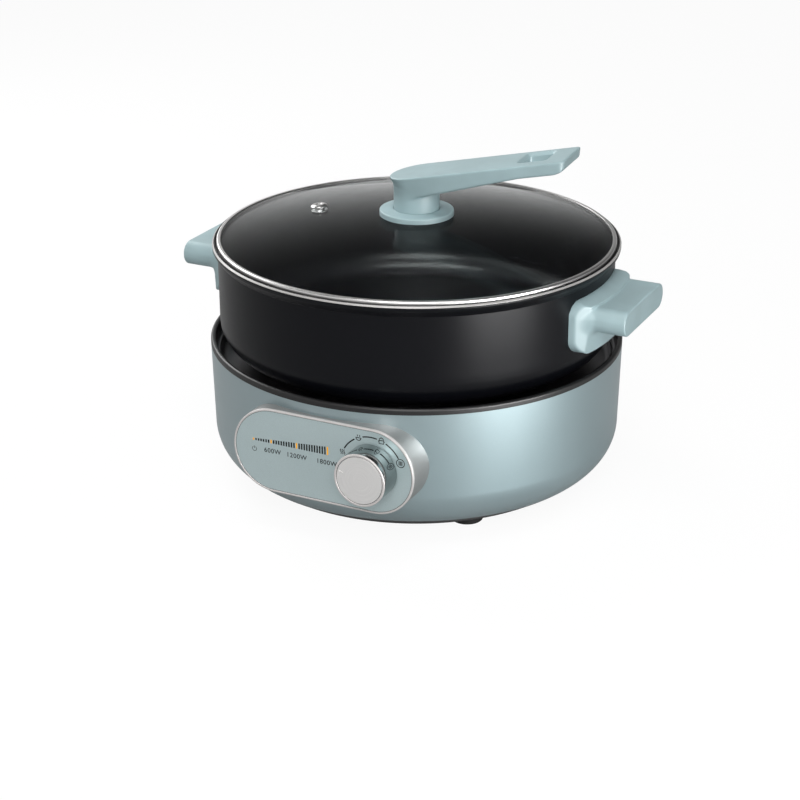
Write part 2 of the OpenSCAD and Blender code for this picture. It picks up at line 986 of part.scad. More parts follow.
module lid_ring() {
    color(silver)
        rotate_extrude()
            polygon([
                [lid_lip_r, lid_bottom_z], [lid_r, lid_bottom_z], [lid_r, lid_top_z - 0.8],
                [lid_r - 0.8, lid_top_z], [lid_lip_r + 0.3, lid_top_z], [lid_lip_r, lid_top_z - 0.3],
                [lid_lip_r, glass_top_z], [glass_r, glass_top_z], [glass_r, lid_bottom_z + ring_t],
                [lid_lip_r, lid_bottom_z + ring_t]
            ]);
}

module vent_eyelet() {
    color(silver)
        at_vent()
            rotate_extrude()
                polygon([
                    [vent_bore_r, -glass_t - 1.4], [vent_flange_r, -glass_t - 1.2],
                    [vent_flange_r, -glass_t - 0.1], [vent_r, -glass_t - 0.1], [vent_r, 0.1],
                    [vent_flange_r, 0.1], [vent_flange_r, 1], [vent_flange_r - 0.8, 2],
                    [vent_r, 2.6], [vent_bore_r + 0.6, 2.2], [vent_bore_r, 1.2]
                ]);
}

module lid_disc() {
    color(aqua)
        difference() {
            rotate_extrude()
                polygon([
                    [lid_screw_r, dome_top_z - 3], [disc_r - 0.6, dome_top_z - 3],
                    [disc_r, dome_top_z + 0.2], [disc_r, disc_top_z - 1.6],
                    [disc_r - 1, disc_top_z - 0.9], [stem_r + 2.6, disc_top_z],
                    [stem_r + 0.3, disc_top_z], [stem_r + 0.3, disc_seat_z],
                    [lid_screw_r, disc_seat_z]
                ]);
            glass_solid();
        }
}

// Thin slab of the handle's plan outline, narrower by inset
module arm_slab(inset) {
    linear_extrude(eps)
        hull($fn = 48) {
            scale([(arm_root_r - inset) / (arm_w / 2 - inset), 1])
                circle(arm_w / 2 - inset);
            for (side = [-1, 1])
                translate([arm_l - arm_corner_r, side * (arm_w / 2 - arm_corner_r)])
                    circle(arm_corner_r - inset);
        }
}

module lid_handle() {
    color(aqua)
        rotate([0, 0, lid_turn])
            difference() {
                union() {
                    translate([0, 0, disc_seat_z])
                        cylinder(r = stem_r, h = arm_under_z + 6 - disc_seat_z);
                    hull() {
                        translate([0, 0, arm_z])
                            rotate([0, -arm_tilt, 0]) {
                                arm_slab(arm_edge);
                                translate([0, 0, -arm_edge])
                                    arm_slab(0);
                                translate([0, 0, -5])
                                    arm_slab(0.4);
                            }
                    }
                    hull() {
                        translate([0, 0, arm_z])
                            rotate([0, -arm_tilt, 0])
                                translate([0, 0, -4.5])
                                    arm_slab(0.4);
                        translate([0, 0, arm_under_z])
                            rotate([0, -arm_under_tilt, 0])
                                linear_extrude(eps) {
                                    translate([1.4, 0])
                                        circle(under_root_r, $fn = 48);
                                    for (side = [-1, 1])
                                        translate([arm_l - 9, side * (arm_w / 2 - 4.5)])
                                            circle(under_corner_r, $fn = 32);
                                }
                    }
                }
                translate([hang_s - hang_l / 2, hang_t - hang_w / 2, 200])
                    cube([hang_l, hang_w, 100]);
                hull() {
                    translate([0, 0, arm_z])
                        rotate([0, -arm_tilt, 0])
                            for (step = [[-hang_bevel, -0.1], [0.5, hang_bevel]])
                                translate([hang_s / cos(arm_tilt), hang_t, step[0]])
                                    cube([hang_l + 2 * step[1], hang_w + 2 * step[1], eps], center = true);
                }
                translate([0, 0, disc_seat_z - 5])
                    cylinder(r = lid_screw_r, h = lid_screw_depth + 5);
            }
}

module lid_gasket() {
    color("#d5d2ca")
        difference() {
            rotate_extrude()
                polygon([
                    [lid_screw_r, washer_z], [gasket_r, washer_z], [gasket_r, washer_z + 4],
                    [lid_screw_r, washer_z + 4]
                ]);
            rotate_extrude()
                polygon(concat(
                    [[0, dome_top_z + 5], [lid_lip_r, dome_top_z + 5]],
                    dome_line(glass_t)
                ));
        }
}

module lid_washer() {
    color(steel)
        translate([0, 0, washer_z - washer_t])
            difference() {
                cylinder(r = washer_r, h = washer_t);
                translate([0, 0, -1])
                    cylinder(r = lid_screw_r, h = 5);
            }
}

module lid_screw() {
    head_r = 4.6;
    head_t = 2.4;
    color(steel) {
        translate([0, 0, washer_z - washer_t - head_t])
            cylinder(r = head_r, h = head_t);
        translate([0, 0, washer_z - washer_t])
            cylinder(r = lid_screw_r, h = disc_seat_z + lid_screw_depth - 1 - washer_z + washer_t);
    }
}

base_shell();
top_ring();
heat_well();
heating_plate();
heating_element();
plate_standoffs();
plate_screws();
heat_shield();
sensor_guide();
thermal_cutout();
frame_posts();
bottom_cover();
feet();
cover_screws();
power_board();
control_housing();
trim_ring();
control_face();
dark_bars();
amber_bars();
light_guide();
control_board();
rotary_switch();
inlet_socket();
inlet_pins();
knob_cap();
knob_disc();
knob_shaft();
sensor_cap();
sensor_clip();
sensor_spring();
pot_body();
pot_sole();
handle_right();
handle_left();
handle_brackets();
handle_screws();
lid_glass();
lid_ring();
vent_eyelet();
lid_disc();
lid_handle();
lid_gasket();
lid_washer();
lid_screw();
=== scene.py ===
"""Visual model of an electric hot pot with a lift-off glass lid.

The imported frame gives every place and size. Each sub-assembly is a class that takes what it needs
from the frame's boxes, builds its meshes and dresses them. Sizes here are in millimetres, with the
origin on the worktop under the centre of the pot and the control panel towards -Y, and a mesh is
scaled to metres when it becomes a piece.
"""

import json
import logging
import math
from collections.abc import Callable, Iterable, Sequence
from dataclasses import dataclass, field
from enum import Enum
from typing import ClassVar

import bmesh
import bpy
import numpy as np
from mathutils import Matrix, Vector

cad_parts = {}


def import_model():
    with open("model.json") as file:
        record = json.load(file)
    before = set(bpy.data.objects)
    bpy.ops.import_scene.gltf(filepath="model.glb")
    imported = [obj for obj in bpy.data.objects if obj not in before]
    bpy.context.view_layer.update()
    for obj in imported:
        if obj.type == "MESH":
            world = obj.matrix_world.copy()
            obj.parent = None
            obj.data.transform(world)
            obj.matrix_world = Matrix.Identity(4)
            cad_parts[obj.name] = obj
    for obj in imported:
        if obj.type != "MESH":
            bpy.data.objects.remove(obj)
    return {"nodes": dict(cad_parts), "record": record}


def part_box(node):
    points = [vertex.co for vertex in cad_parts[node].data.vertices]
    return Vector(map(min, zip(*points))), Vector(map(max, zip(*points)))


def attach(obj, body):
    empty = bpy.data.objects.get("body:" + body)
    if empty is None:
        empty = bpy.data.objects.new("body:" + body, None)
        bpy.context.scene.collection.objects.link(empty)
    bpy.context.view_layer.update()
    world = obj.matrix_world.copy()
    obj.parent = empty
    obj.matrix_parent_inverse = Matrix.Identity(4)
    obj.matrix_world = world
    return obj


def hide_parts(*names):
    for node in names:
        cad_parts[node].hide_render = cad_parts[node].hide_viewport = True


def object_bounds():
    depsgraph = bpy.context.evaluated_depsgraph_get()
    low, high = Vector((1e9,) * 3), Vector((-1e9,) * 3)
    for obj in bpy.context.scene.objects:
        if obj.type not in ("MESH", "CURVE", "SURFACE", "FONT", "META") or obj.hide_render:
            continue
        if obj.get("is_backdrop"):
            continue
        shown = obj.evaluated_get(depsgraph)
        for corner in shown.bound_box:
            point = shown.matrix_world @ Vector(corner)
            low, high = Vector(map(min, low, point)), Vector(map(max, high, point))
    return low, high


MM = 0.001
NOISE_ROUGHNESS = 0.55
LOG = logging.getLogger("hot_pot")

Point = tuple[float, float]
Corner = tuple[float, float, float]
Colour = tuple[float, float, float]


# ----------------------------------------------------------------------------------------------
# Shader nodes
# ----------------------------------------------------------------------------------------------


def srgb(red: int, green: int, blue: int) -> Colour:
    """Converts a colour of 0 to 255 per channel.

    Args:
        red: Red channel.
        green: Green channel.
        blue: Blue channel.

    Returns:
        The colour in linear light.
    """

    def linear(channel: int) -> float:
        """Returns one channel in linear light."""
        c = channel / 255
        return c / 12.92 if c <= 0.04045 else ((c + 0.055) / 1.055) ** 2.4

    return linear(red), linear(green), linear(blue)


def scaled(colour: Colour, factor: float, lift: float = 0.0) -> Colour:
    """Returns a colour with each channel multiplied by factor and then raised by lift."""
    red, green, blue = (min(1.0, channel * factor + lift) for channel in colour)
    return red, green, blue


class Maths(Enum):
    """Operations of the Math node that the finishes use."""

    ADD = "ADD"
    MULTIPLY = "MULTIPLY"
    ARCTAN2 = "ARCTAN2"
    GREATER = "GREATER_THAN"
    SQRT = "SQRT"


class Value:
    """A node's output socket, with the arithmetic of numbers."""

    def __init__(self, graph: "Graph", socket: bpy.types.NodeSocket | None) -> None:
        """Wraps an output socket of the graph, or None for a node that ends the tree."""
        self.graph = graph
        self.socket = socket

    def _maths(self, operation: Maths, *operands: "Value | float") -> "Value":
        """Adds a Math node on the operands and returns its output."""
        return self.graph.node("ShaderNodeMath", {"operation": operation.value}, dict(enumerate(operands)))

    def __add__(self, other: "Value | float") -> "Value":
        """Returns the sum."""
        return self._maths(Maths.ADD, self, other)

    __radd__ = __add__

    def __mul__(self, other: "Value | float") -> "Value":
        """Returns the product."""
        return self._maths(Maths.MULTIPLY, self, other)

    __rmul__ = __mul__

    def __gt__(self, other: "Value | float") -> "Value":
        """Returns 1 where this value is the greater one."""
        return self._maths(Maths.GREATER, self, other)

    def root(self) -> "Value":
        """Returns the square root."""
        return self._maths(Maths.SQRT, self)

    def angle_to(self, other: "Value") -> "Value":
        """Returns the angle of the point whose height is this value and whose width is other."""
        return self._maths(Maths.ARCTAN2, self, other)

    def fade(self, start: float, end: float) -> "Value":
        """Returns the value mapped smoothly to 0 at start and 1 at end."""
        inputs = {"Value": self, "From Min": start, "From Max": end, "To Min": 0.0, "To Max": 1.0}
        return self.graph.node("ShaderNodeMapRange", {"interpolation_type": "SMOOTHSTEP"}, inputs)


class Graph:
    """The node tree of one material."""

    def __init__(self, name: str) -> None:
        """Makes an empty material.

        Args:
            name: The material's name.
        """
        self.material = bpy.data.materials.new(name)
        self.material.use_nodes = True
        self.tree = self.material.node_tree
        self.tree.nodes.clear()
        self._place: dict[str, Value] = {}

    @classmethod
    def on(cls, tree: bpy.types.NodeTree) -> "Graph":
        """Returns an empty graph on a tree that isn't a material's."""
        made = cls.__new__(cls)
        made.tree = tree
        made.tree.nodes.clear()
        return made

    def node(
        self,
        kind: str,
        settings: dict[str, object] | None = None,
        inputs: dict[str | int, object] | None = None,
        output: str | int = 0,
    ) -> Value:
        """Adds a node.

        Args:
            kind: The node's type.
            settings: Its properties, which are set first. "stops" fills a colour ramp.
            inputs: Links or plain values of its input sockets, by name or number.
            output: The output socket that is wanted.

        Returns:
            That output.
        """
        made = self.tree.nodes.new(kind)
        for key, setting in (settings or {}).items():
            if key == "stops":
                self._fill_ramp(made.color_ramp, setting)
            else:
                setattr(made, key, setting)
        for key, given in (inputs or {}).items():
            self.feed(made.inputs[key], given)
        return Value(self, made.outputs[output] if made.outputs else None)

    @staticmethod
    def _fill_ramp(ramp: bpy.types.ColorRamp, stops: Sequence[tuple[float, Colour]]) -> None:
        """Sets a ramp's stops.

        Args:
            ramp: The ramp, which has two stops to begin with.
            stops: Position and colour of each stop, in order.
        """
        while len(ramp.elements) < len(stops):
            ramp.elements.new(1.0)
        for element, (position, colour) in zip(ramp.elements, stops):
            element.position = position
            element.color = (*colour, 1.0)

    def feed(self, socket: bpy.types.NodeSocket, given: object) -> None:
        """Sets or links an input socket.

        Args:
            socket: The input socket.
            given: A wrapped output, a number, a colour or a vector.
        """
        if isinstance(given, Value):
            self.tree.links.new(given.socket, socket)
        elif isinstance(given, tuple) and socket.type == "RGBA" and len(given) == 3:
            socket.default_value = (*given, 1.0)
        else:
            socket.default_value = given

    def mix(self, share: "Value | float", low: "Value | Colour", high: "Value | Colour") -> Value:
        """Mixes two colours.

        Args:
            share: How much of the second colour, from 0 to 1.
            low: The first colour.
            high: The second colour.

        Returns:
            The mixed colour.
        """
        inputs = {"Factor": share, "A": low, "B": high}
        made = self.tree.nodes.new("ShaderNodeMix")
        made.data_type = "RGBA"
        for key, given in inputs.items():
            wanted = "VALUE" if key == "Factor" else "RGBA"
            socket = next(s for s in made.inputs if s.name == key and s.type == wanted)
            self.feed(socket, given)
        return Value(self, next(s for s in made.outputs if s.type == "RGBA"))

    def position(self) -> Value:
        """Returns the place on the object, in millimetres."""
        if "position" not in self._place:
            here = self.node("ShaderNodeTexCoord", output="Object")
            inputs = {0: here, "Scale": 1 / MM}
            self._place["position"] = self.node("ShaderNodeVectorMath", {"operation": "SCALE"}, inputs)
        return self._place["position"]

    def axis(self, letter: str) -> Value:
        """Returns one coordinate of the place on the object, in millimetres."""
        if letter not in self._place:
            inputs = {0: self.position()}
            self._place[letter] = self.node("ShaderNodeSeparateXYZ", inputs=inputs, output=letter)
        return self._place[letter]

    def shifted(self, offset: tuple[float, float, float]) -> Value:
        """Returns the place relative to another origin, in millimetres."""
        inputs = {0: self.position(), 1: offset}
        return self.node("ShaderNodeVectorMath", {"operation": "SUBTRACT"}, inputs)

    def noise(self, size: float, detail: float = 2.0) -> Value:
        """Returns noise from 0 to 1, with features of a size in millimetres and finer layers in them."""
        inputs = {"Vector": self.position(), "Scale": 1 / size, "Detail": detail}
        return self.node("ShaderNodeTexNoise", None, {**inputs, "Roughness": NOISE_ROUGHNESS})

    def cells(self, size: float) -> Value:
        """Returns a random value from 0 to 1 for each cell of a size in millimetres."""
        inputs = {"Vector": self.position(), "Scale": 1 / size}
        made = self.node("ShaderNodeTexVoronoi", None, inputs, "Color")
        return self.node("ShaderNodeSeparateColor", None, {0: made})

    def bump(self, height: Value, depth: float) -> Value:
        """Returns the normal of a height from 0 to 1, where 1 stands for a depth in millimetres."""
        return self.node("ShaderNodeBump", None, {"Height": height, "Distance": depth * MM, "Strength": 1.0})

    def about(self, middle: float, swing: float, texture: Value) -> Value:
        """Returns the middle value, which a texture from 0 to 1 moves by half the swing either way."""
        return (middle - swing / 2) + swing * texture

    def surface(self, sockets: dict[str, object]) -> Value:
        """Returns the surface shader, with links or plain values for its inputs, by name."""
        return self.node("ShaderNodeBsdfPrincipled", None, sockets)

    def show(self, shader: Value) -> bpy.types.Material:
        """Makes the shader the material's surface and returns the material."""
        self.node("ShaderNodeOutputMaterial", None, {"Surface": shader})
        return self.material


# ----------------------------------------------------------------------------------------------
# Forms
# ----------------------------------------------------------------------------------------------


def arc(centre: Point, radius: float, start: float, end: float, steps: int) -> list[Point]:
    """Returns the points of an arc from one angle in degrees to another, in equal steps."""
    angles = np.radians(np.linspace(start, end, steps + 1))
    return [(centre[0] + radius * math.cos(a), centre[1] + radius * math.sin(a)) for a in angles]


def rounded(corners: Sequence[Corner], closed: bool = True, steps: int = 5) -> list[Point]:
    """Rounds the corners of a section.

    Args:
        corners: Width, height and rounding radius of each corner, in order.
        closed: Whether the last corner joins the first.
        steps: How many stretches each rounding has.

    Returns:
        The points of the rounded section.
    """
    made: list[Point] = []
    last = len(corners) - 1
    for i, (x, y, radius) in enumerate(corners):
        if radius == 0 or (not closed and i in (0, last)):
            made.append((x, y))
            continue
        here = Vector((x, y))
        back = (Vector(corners[i - 1][:2]) - here).normalized()
        ahead = (Vector(corners[(i + 1) % len(corners)][:2]) - here).normalized()
        half = back.angle(ahead) / 2
        centre = here + (back + ahead).normalized() * (radius / math.sin(half))
        first = here + back * (radius / math.tan(half)) - centre
        turn = first.angle_signed(here + ahead * (radius / math.tan(half)) - centre)
        for step in range(steps + 1):
            spoke = Matrix.Rotation(-turn * step / steps, 2) @ first
            made.append((centre.x + spoke.x, centre.y + spoke.y))
    return made


def spread(points: Sequence[Point], longest: float) -> list[Point]:
    """Divides the long stretches of a section, so that large faces keep an even shape.

    Args:
        points: The section.
        longest: Length that no stretch passes.

    Returns:
        The section with more points.
    """
    made = [points[0]]
    for before, after in zip(points, points[1:]):
        parts = max(1, math.ceil(math.dist(before, after) / longest))
        for part in range(1, parts + 1):
            t = part / parts
            made.append((before[0] + (after[0] - before[0]) * t, before[1] + (after[1] - before[1]) * t))
    return made


@dataclass
class Form:
    """Vertices and faces of a piece, in millimetres, with the finish that each face takes."""

    points: np.ndarray
    faces: list[tuple[int, ...]]
    finishes: list[int] = field(default_factory=list)

    def placed(self, matrix: Matrix) -> "Form":
        """Returns the form moved by a matrix."""
        moved = [matrix @ Vector(p) for p in self.points]
        return Form(np.array(moved, float), list(self.faces), list(self.finishes))

    def joined(self, other: "Form") -> "Form":
        """Returns this form and another one as one."""
        start = len(self.points)
        shifted = [tuple(i + start for i in face) for face in other.faces]
        finishes = self._all_finishes() + other._all_finishes()
        return Form(np.vstack([self.points, other.points]), self.faces + shifted, finishes)

    def _all_finishes(self) -> list[int]:
        """Returns the number of each face's finish."""
        return self.finishes or [0] * len(self.faces)

    def painted(self, number: int, where: Callable[[np.ndarray], bool]) -> "Form":
        """Gives some faces another finish.

        Args:
            number: The finish's number.
            where: Says of a face's middle whether it takes that finish.

        Returns:
            The form itself.
        """
        now = self._all_finishes()
        middles = [self.points[list(face)].mean(axis=0) for face in self.faces]
        self.finishes = [number if where(m) else old for m, old in zip(middles, now)]
        return self


def revolved(section: Sequence[Point], segments: int, closed: bool = True) -> Form:
    """Turns a section round the Z axis.

    Args:
        section: Radius and height of each point. Points on the axis become one vertex.
        segments: How many stretches a full turn has.
        closed: Whether the last point joins the first.

    Returns:
        The turned form.
    """
    points: list[tuple[float, float, float]] = []
    rings: list[list[int]] = []
    for radius, height in section:
        start = len(points)
        if radius < 1e-6:
            points.append((0.0, 0.0, height))
            rings.append([start] * segments)
            continue
        for step in range(segments):
            a = 2 * math.pi * step / segments
            points.append((radius * math.cos(a), radius * math.sin(a), height))
        rings.append(list(range(start, start + segments)))
    faces: list[tuple[int, ...]] = []
    pairs = list(zip(rings, rings[1:])) + ([(rings[-1], rings[0])] if closed else [])
    for low, high in pairs:
        for step in range(segments):
            after = (step + 1) % segments
            face = dict.fromkeys((low[step], low[after], high[after], high[step]))
            if len(face) > 2:
                faces.append(tuple(face))
    return Form(np.array(points, float), faces)


def looped(rings: Sequence[Sequence[tuple[float, float, float]]]) -> Form:
    """Joins closed rings of equal length into a closed band, the last ring to the first.

    Args:
        rings: The points of each ring.

    Returns:
        The band.
    """
    count = len(rings[0])
    faces = [
        (i * count + k, i * count + (k + 1) % count, j * count + (k + 1) % count, j * count + k)
        for i in range(len(rings))
        for j in [(i + 1) % len(rings)]
        for k in range(count)
    ]
    return Form(np.array([p for ring in rings for p in ring], float), faces)


# A field gives the distance to a solid's skin at each place, which is less than 0 inside.
Field = Callable[[np.ndarray, np.ndarray, np.ndarray], np.ndarray]


def blended(first: np.ndarray, second: np.ndarray, radius: float) -> np.ndarray:
    """Returns the distances to two solids as one, joined with a fillet."""
    share = np.clip(0.5 + 0.5 * (second - first) / radius, 0, 1)
    return second * (1 - share) + first * share - radius * share * (1 - share)


def trimmed(first: np.ndarray, second: np.ndarray, radius: float) -> np.ndarray:
    """Returns the distances to what two solids share, with a rounded edge."""
    return -blended(-first, -second, radius)


def slab(across: np.ndarray, up: np.ndarray, half_w: float, half_h: float, corner: float) -> np.ndarray:
    """Returns the distances to a rounded rectangle around the origin.

    Args:
        across: Place along the width.
        up: Place along the height.
        half_w: Half its width.
        half_h: Half its height.
        corner: Radius of its corners.

    Returns:
        The distances.
    """
    x = np.abs(across) - (half_w - corner)
    y = np.abs(up) - (half_h - corner)
    outside = np.hypot(np.maximum(x, 0), np.maximum(y, 0))
    return outside + np.minimum(np.maximum(x, y), 0) - corner


def skinned(field_of: Field, low: Sequence[float], high: Sequence[float], cell: float) -> Form:
    """Wraps a distance field in an even net of faces.

    Args:
        field_of: The field.
        low: Lowest corner of the space to look at.
        high: Highest corner of that space.
        cell: Size of the net's faces.

    Returns:
        The closed form.
    """
    low_corner = np.array(low, float)
    counts = np.ceil((np.array(high, float) - low_corner) / cell).astype(int) + 1
    lines = [low_corner[i] + cell * np.arange(counts[i]) for i in range(3)]
    inside = field_of(*np.meshgrid(*lines, indexing="ij")) < 0
    corners = [inside[a : a + counts[0] - 1, b : b + counts[1] - 1, c : c + counts[2] - 1]
               for a in (0, 1) for b in (0, 1) for c in (0, 1)]
    total = np.sum(corners, axis=0)
    mixed = (total > 0) & (total < 8)
    number = np.full(mixed.shape, -1)
    number[mixed] = np.arange(mixed.sum())
    points = low_corner + (np.argwhere(mixed) + 0.5) * cell
    reach = 0.02 * cell
    steps_to_skin = 8
    flattest = 0.2
    for _ in range(steps_to_skin):
        here = field_of(*points.T)
        slope = np.stack([
            (field_of(*(points + step).T) - field_of(*(points - step).T)) / (2 * reach)
            for step in np.eye(3) * reach
        ], axis=1)
        length = np.maximum((slope**2).sum(axis=1), flattest)
        points -= np.clip((here / length)[:, None] * slope, -cell / 2, cell / 2)
    faces: list[tuple[int, ...]] = []
    for axis in range(3):
        one, two = [i for i in range(3) if i != axis]
        before = np.take(inside, range(counts[axis] - 1), axis)
        after = np.take(inside, range(1, counts[axis]), axis)
        places = np.argwhere(before != after)
        around = []
        for shift_one, shift_two in ((0, 0), (1, 0), (1, 1), (0, 1)):
            cells = places.copy()
            cells[:, one] -= shift_one
            cells[:, two] -= shift_two
            around.append(number[tuple(cells.T)])
        faces += [tuple(face) for face in np.stack(around, axis=1).tolist()]
    return Form(points, faces)


# ----------------------------------------------------------------------------------------------
# Finishes
# ----------------------------------------------------------------------------------------------


@dataclass(frozen=True)
class Finish:
    """A surface finish. Its material is made once and shared."""

    name: str
    shared: ClassVar[dict[str, bpy.types.Material]] = {}

    def shader(self, graph: Graph) -> Value:
        """Returns the shader of this finish. Each kind of finish has its own."""
        raise NotImplementedError

    def material(self) -> bpy.types.Material:
        """Returns the material of this finish."""
        if self.name not in self.shared:
            graph = Graph(self.name)
            self.shared[self.name] = graph.show(self.shader(graph))
        return self.shared[self.name]


@dataclass(frozen=True)
class MouldedPlastic(Finish):
    """Plastic with the fine even grain of an etched mould."""

    colour: Colour
    roughness: float = 0.42
    grain: float = 0.35
    depth: float = 0.012
    variation: float = 0.05
    flow: float = 26.0
    patch: float = 7.0

    def shader(self, graph: Graph) -> Value:
        """Returns a satin surface with grain, faint flow marks and slightly uneven gloss."""
        grain = graph.noise(self.grain, 3.0)
        flow = graph.noise(self.flow).fade(0.3, 0.7)
        darker, lighter = scaled(self.colour, 1 - self.variation), scaled(self.colour, 1 + self.variation)
        return graph.surface({
            "Base Color": graph.mix(flow, darker, lighter),
            "Roughness": graph.about(self.roughness, 0.08, graph.noise(self.patch)) + 0.04 * grain,
            "Specular IOR Level": 0.6,
            "Normal": graph.bump(grain, self.depth),
        })


@dataclass(frozen=True)
class MetallicPaint(Finish):
    """Pearl paint: fine bright flakes under a clear coat."""

    colour: Colour
    metallic: float
    roughness: float
    coat: float
    flake: float = 0.22
    cloud: float = 40.0
    peel: float = 1.6
    pearl: Colour = (0.9, 0.95, 0.95)

    def shader(self, graph: Graph) -> Value:
        """Returns a surface with flakes of uneven brightness and a faint orange peel."""
        flakes = graph.cells(self.flake)
        cloud = graph.noise(self.cloud)
        base = graph.mix(flakes, scaled(self.colour, 0.93), scaled(self.colour, 1.07))
        return graph.surface({
            "Base Color": graph.mix(0.06 * cloud, base, self.pearl),
            "Metallic": self.metallic,
            "Roughness": self.roughness - 0.03 + 0.04 * flakes + 0.03 * cloud,
            "Coat Weight": self.coat,
            "Coat Roughness": 0.3,
            "Coat IOR": 3.4,
            "Normal": graph.bump(graph.noise(self.peel), 0.006),
        })


@dataclass(frozen=True)
class FiredCoating(Finish):
    """Dark baked coating of a pan, matt with fine specks."""

    colour: Colour
    roughness: float
    specular: float
    speck: float = 0.5
    spray: float = 0.9
    cloud: float = 18.0

    def shader(self, graph: Graph) -> Value:
        """Returns a dark surface with specks, spray texture and soft clouds of gloss."""
        specks = graph.noise(self.speck, 1.0).fade(0.62, 0.72)
        return graph.surface({
            "Base Color": graph.mix(0.4 * specks, self.colour, scaled(self.colour, 1.9, 0.004)),
            "Roughness": self.roughness - 0.03 + 0.05 * graph.noise(self.cloud) + 0.03 * specks,
            "Specular IOR Level": self.specular,
            "Normal": graph.bump(graph.noise(self.spray, 3.0), 0.014),
        })


@dataclass(frozen=True)
class PolishedMetal(Finish):
    """Bright metal with faint wipe marks."""

    colour: Colour
    roughness: float
    smudge: float = 0.08
    metallic: float = 1.0
    wipe: float = 9.0
    tarnish: float = 30.0
    wave: float = 3.0

    def shader(self, graph: Graph) -> Value:
        """Returns a mirror-like surface whose gloss varies softly."""
        return graph.surface({
            "Base Color": graph.mix(graph.noise(self.tarnish), self.colour, scaled(self.colour, 0.94)),
            "Metallic": self.metallic,
            "Roughness": self.roughness + self.smudge * graph.noise(self.wipe, 3.0),
            "Normal": graph.bump(graph.noise(self.wave), 0.004),
        })


class Grind(Enum):
    """Direction of the fine lines that a tool leaves."""

    ROUND_Z = "round_z"
    ROUND_Y = "round_y"
    ACROSS_Y = "across_y"


@dataclass(frozen=True)
class GroundMetal(Finish):
    """Metal with fine lines from turning or brushing."""

    colour: Colour
    grind: Grind = Grind.ROUND_Z
    centre: tuple[float, float, float] = (0.0, 0.0, 0.0)
    roughness: float = 0.3
    line: float = 0.35
    depth: float = 0.01
    metallic: float = 1.0
    stretch: float = 0.12
    turns: float = 4.0

    def _lines(self, graph: Graph) -> Value:
        """Returns the height of the lines, from 0 to 1."""
        here = graph.shifted(self.centre)
        part = {letter: graph.node("ShaderNodeSeparateXYZ", None, {0: here}, letter) for letter in "XYZ"}
        if self.grind is Grind.ACROSS_Y:
            along, across = part["X"] + part["Z"], part["Y"]
        else:
            second = part["Y"] if self.grind is Grind.ROUND_Z else part["Z"]
            across = (part["X"] * part["X"] + second * second).root()
            along = second.angle_to(part["X"]) * self.turns
        inputs = {"X": across * (1 / self.line), "Y": along * self.stretch}
        stretched = graph.node("ShaderNodeCombineXYZ", None, inputs)
        return graph.node("ShaderNodeTexNoise", None, {"Vector": stretched, "Scale": 1.0, "Detail": 3.0})

    def shader(self, graph: Graph) -> Value:
        """Returns a metal surface with lines that catch the light."""
        lines = self._lines(graph)
        return graph.surface({
            "Base Color": graph.mix(lines, scaled(self.colour, 0.86), scaled(self.colour, 1.08)),
            "Metallic": self.metallic,
            "Roughness": graph.about(self.roughness, 0.12, lines),
            "Normal": graph.bump(lines, self.depth),
        })


@dataclass(frozen=True)
class CastMetal(Finish):
    """Cast metal with an open grain."""

    colour: Colour
    grain: float
    roughness: float = 0.55
    stain: float = 22.0

    def shader(self, graph: Graph) -> Value:
        """Returns a dull metal surface with casting grain and heat stains."""
        grain = graph.noise(self.grain, 4.0)
        stain = graph.noise(self.stain, 3.0).fade(0.35, 0.7)
        return graph.surface({
            "Base Color": graph.mix(stain, self.colour, scaled(self.colour, 0.72)),
            "Metallic": 0.9,
            "Roughness": graph.about(self.roughness, 0.16, grain),
            "Normal": graph.bump(grain, 0.04),
        })


@dataclass(frozen=True)
class ClearSheet(Finish):
    """Toughened glass or clear plastic."""

    colour: Colour
    index: float
    roughness: float = 0.0
    shade: float = 0.85
    film: float = 14.0

    def shader(self, graph: Graph) -> Value:
        """Returns a clear surface that lets the lamps through."""
        film = graph.noise(self.film, 3.0).fade(0.55, 0.85)
        clear = graph.surface({
            "Base Color": self.colour,
            "Roughness": self.roughness + 0.012 * film,
            "IOR": self.index,
            "Transmission Weight": 1.0,
        })
        light = graph.node("ShaderNodeLightPath", output="Is Shadow Ray")
        open_way = graph.node("ShaderNodeBsdfTransparent", None, {"Color": (self.shade,) * 3})
        return graph.node("ShaderNodeMixShader", None, {0: light, 1: clear, 2: open_way})


@dataclass(frozen=True)
class Rubber(Finish):
    """Soft rubber or silicone."""

    colour: Colour
    roughness: float = 0.75
    pore: float = 0.6
    dust: float = 5.0

    def shader(self, graph: Graph) -> Value:
        """Returns a matt surface with fine pores and a trace of dust."""
        pores = graph.noise(self.pore, 3.0)
        dust = graph.noise(self.dust, 3.0).fade(0.5, 0.8)
        return graph.surface({
            "Base Color": graph.mix(0.25 * dust, self.colour, scaled(self.colour, 1.0, 0.03)),
            "Roughness": graph.about(self.roughness, 0.1, pores),
            "Specular IOR Level": 0.35,
            "Normal": graph.bump(pores, 0.03),
        })


@dataclass(frozen=True)
class Ink(Finish):
    """Printed ink, or a small window with dye in it that can shine by emission as a painted glow."""

    colour: Colour
    roughness: float
    # Emission strength of a painted glow, with no lamp behind the window.
    glow: float = 0.0
    mottle: float = 0.3

    def shader(self, graph: Graph) -> Value:
        """Returns an even colour with the slight mottling of print, and a painted glow where glow is set."""
        mottle = graph.noise(self.mottle)
        sockets: dict[str, object] = {
            "Base Color": graph.mix(mottle, self.colour, scaled(self.colour, 1.15, 0.003)),
            "Roughness": graph.about(self.roughness, 0.1, mottle),
            "Specular IOR Level": 0.3,
        }
        # Painted glow: the emission lights up the window though no lamp is behind it.
        if self.glow:
            sockets["Emission Color"] = self.colour
            sockets["Emission Strength"] = self.glow
        return graph.surface(sockets)


AQUA = srgb(160, 184, 188)
KNOB_CENTRE = (44.0, 0.0, 67.0)

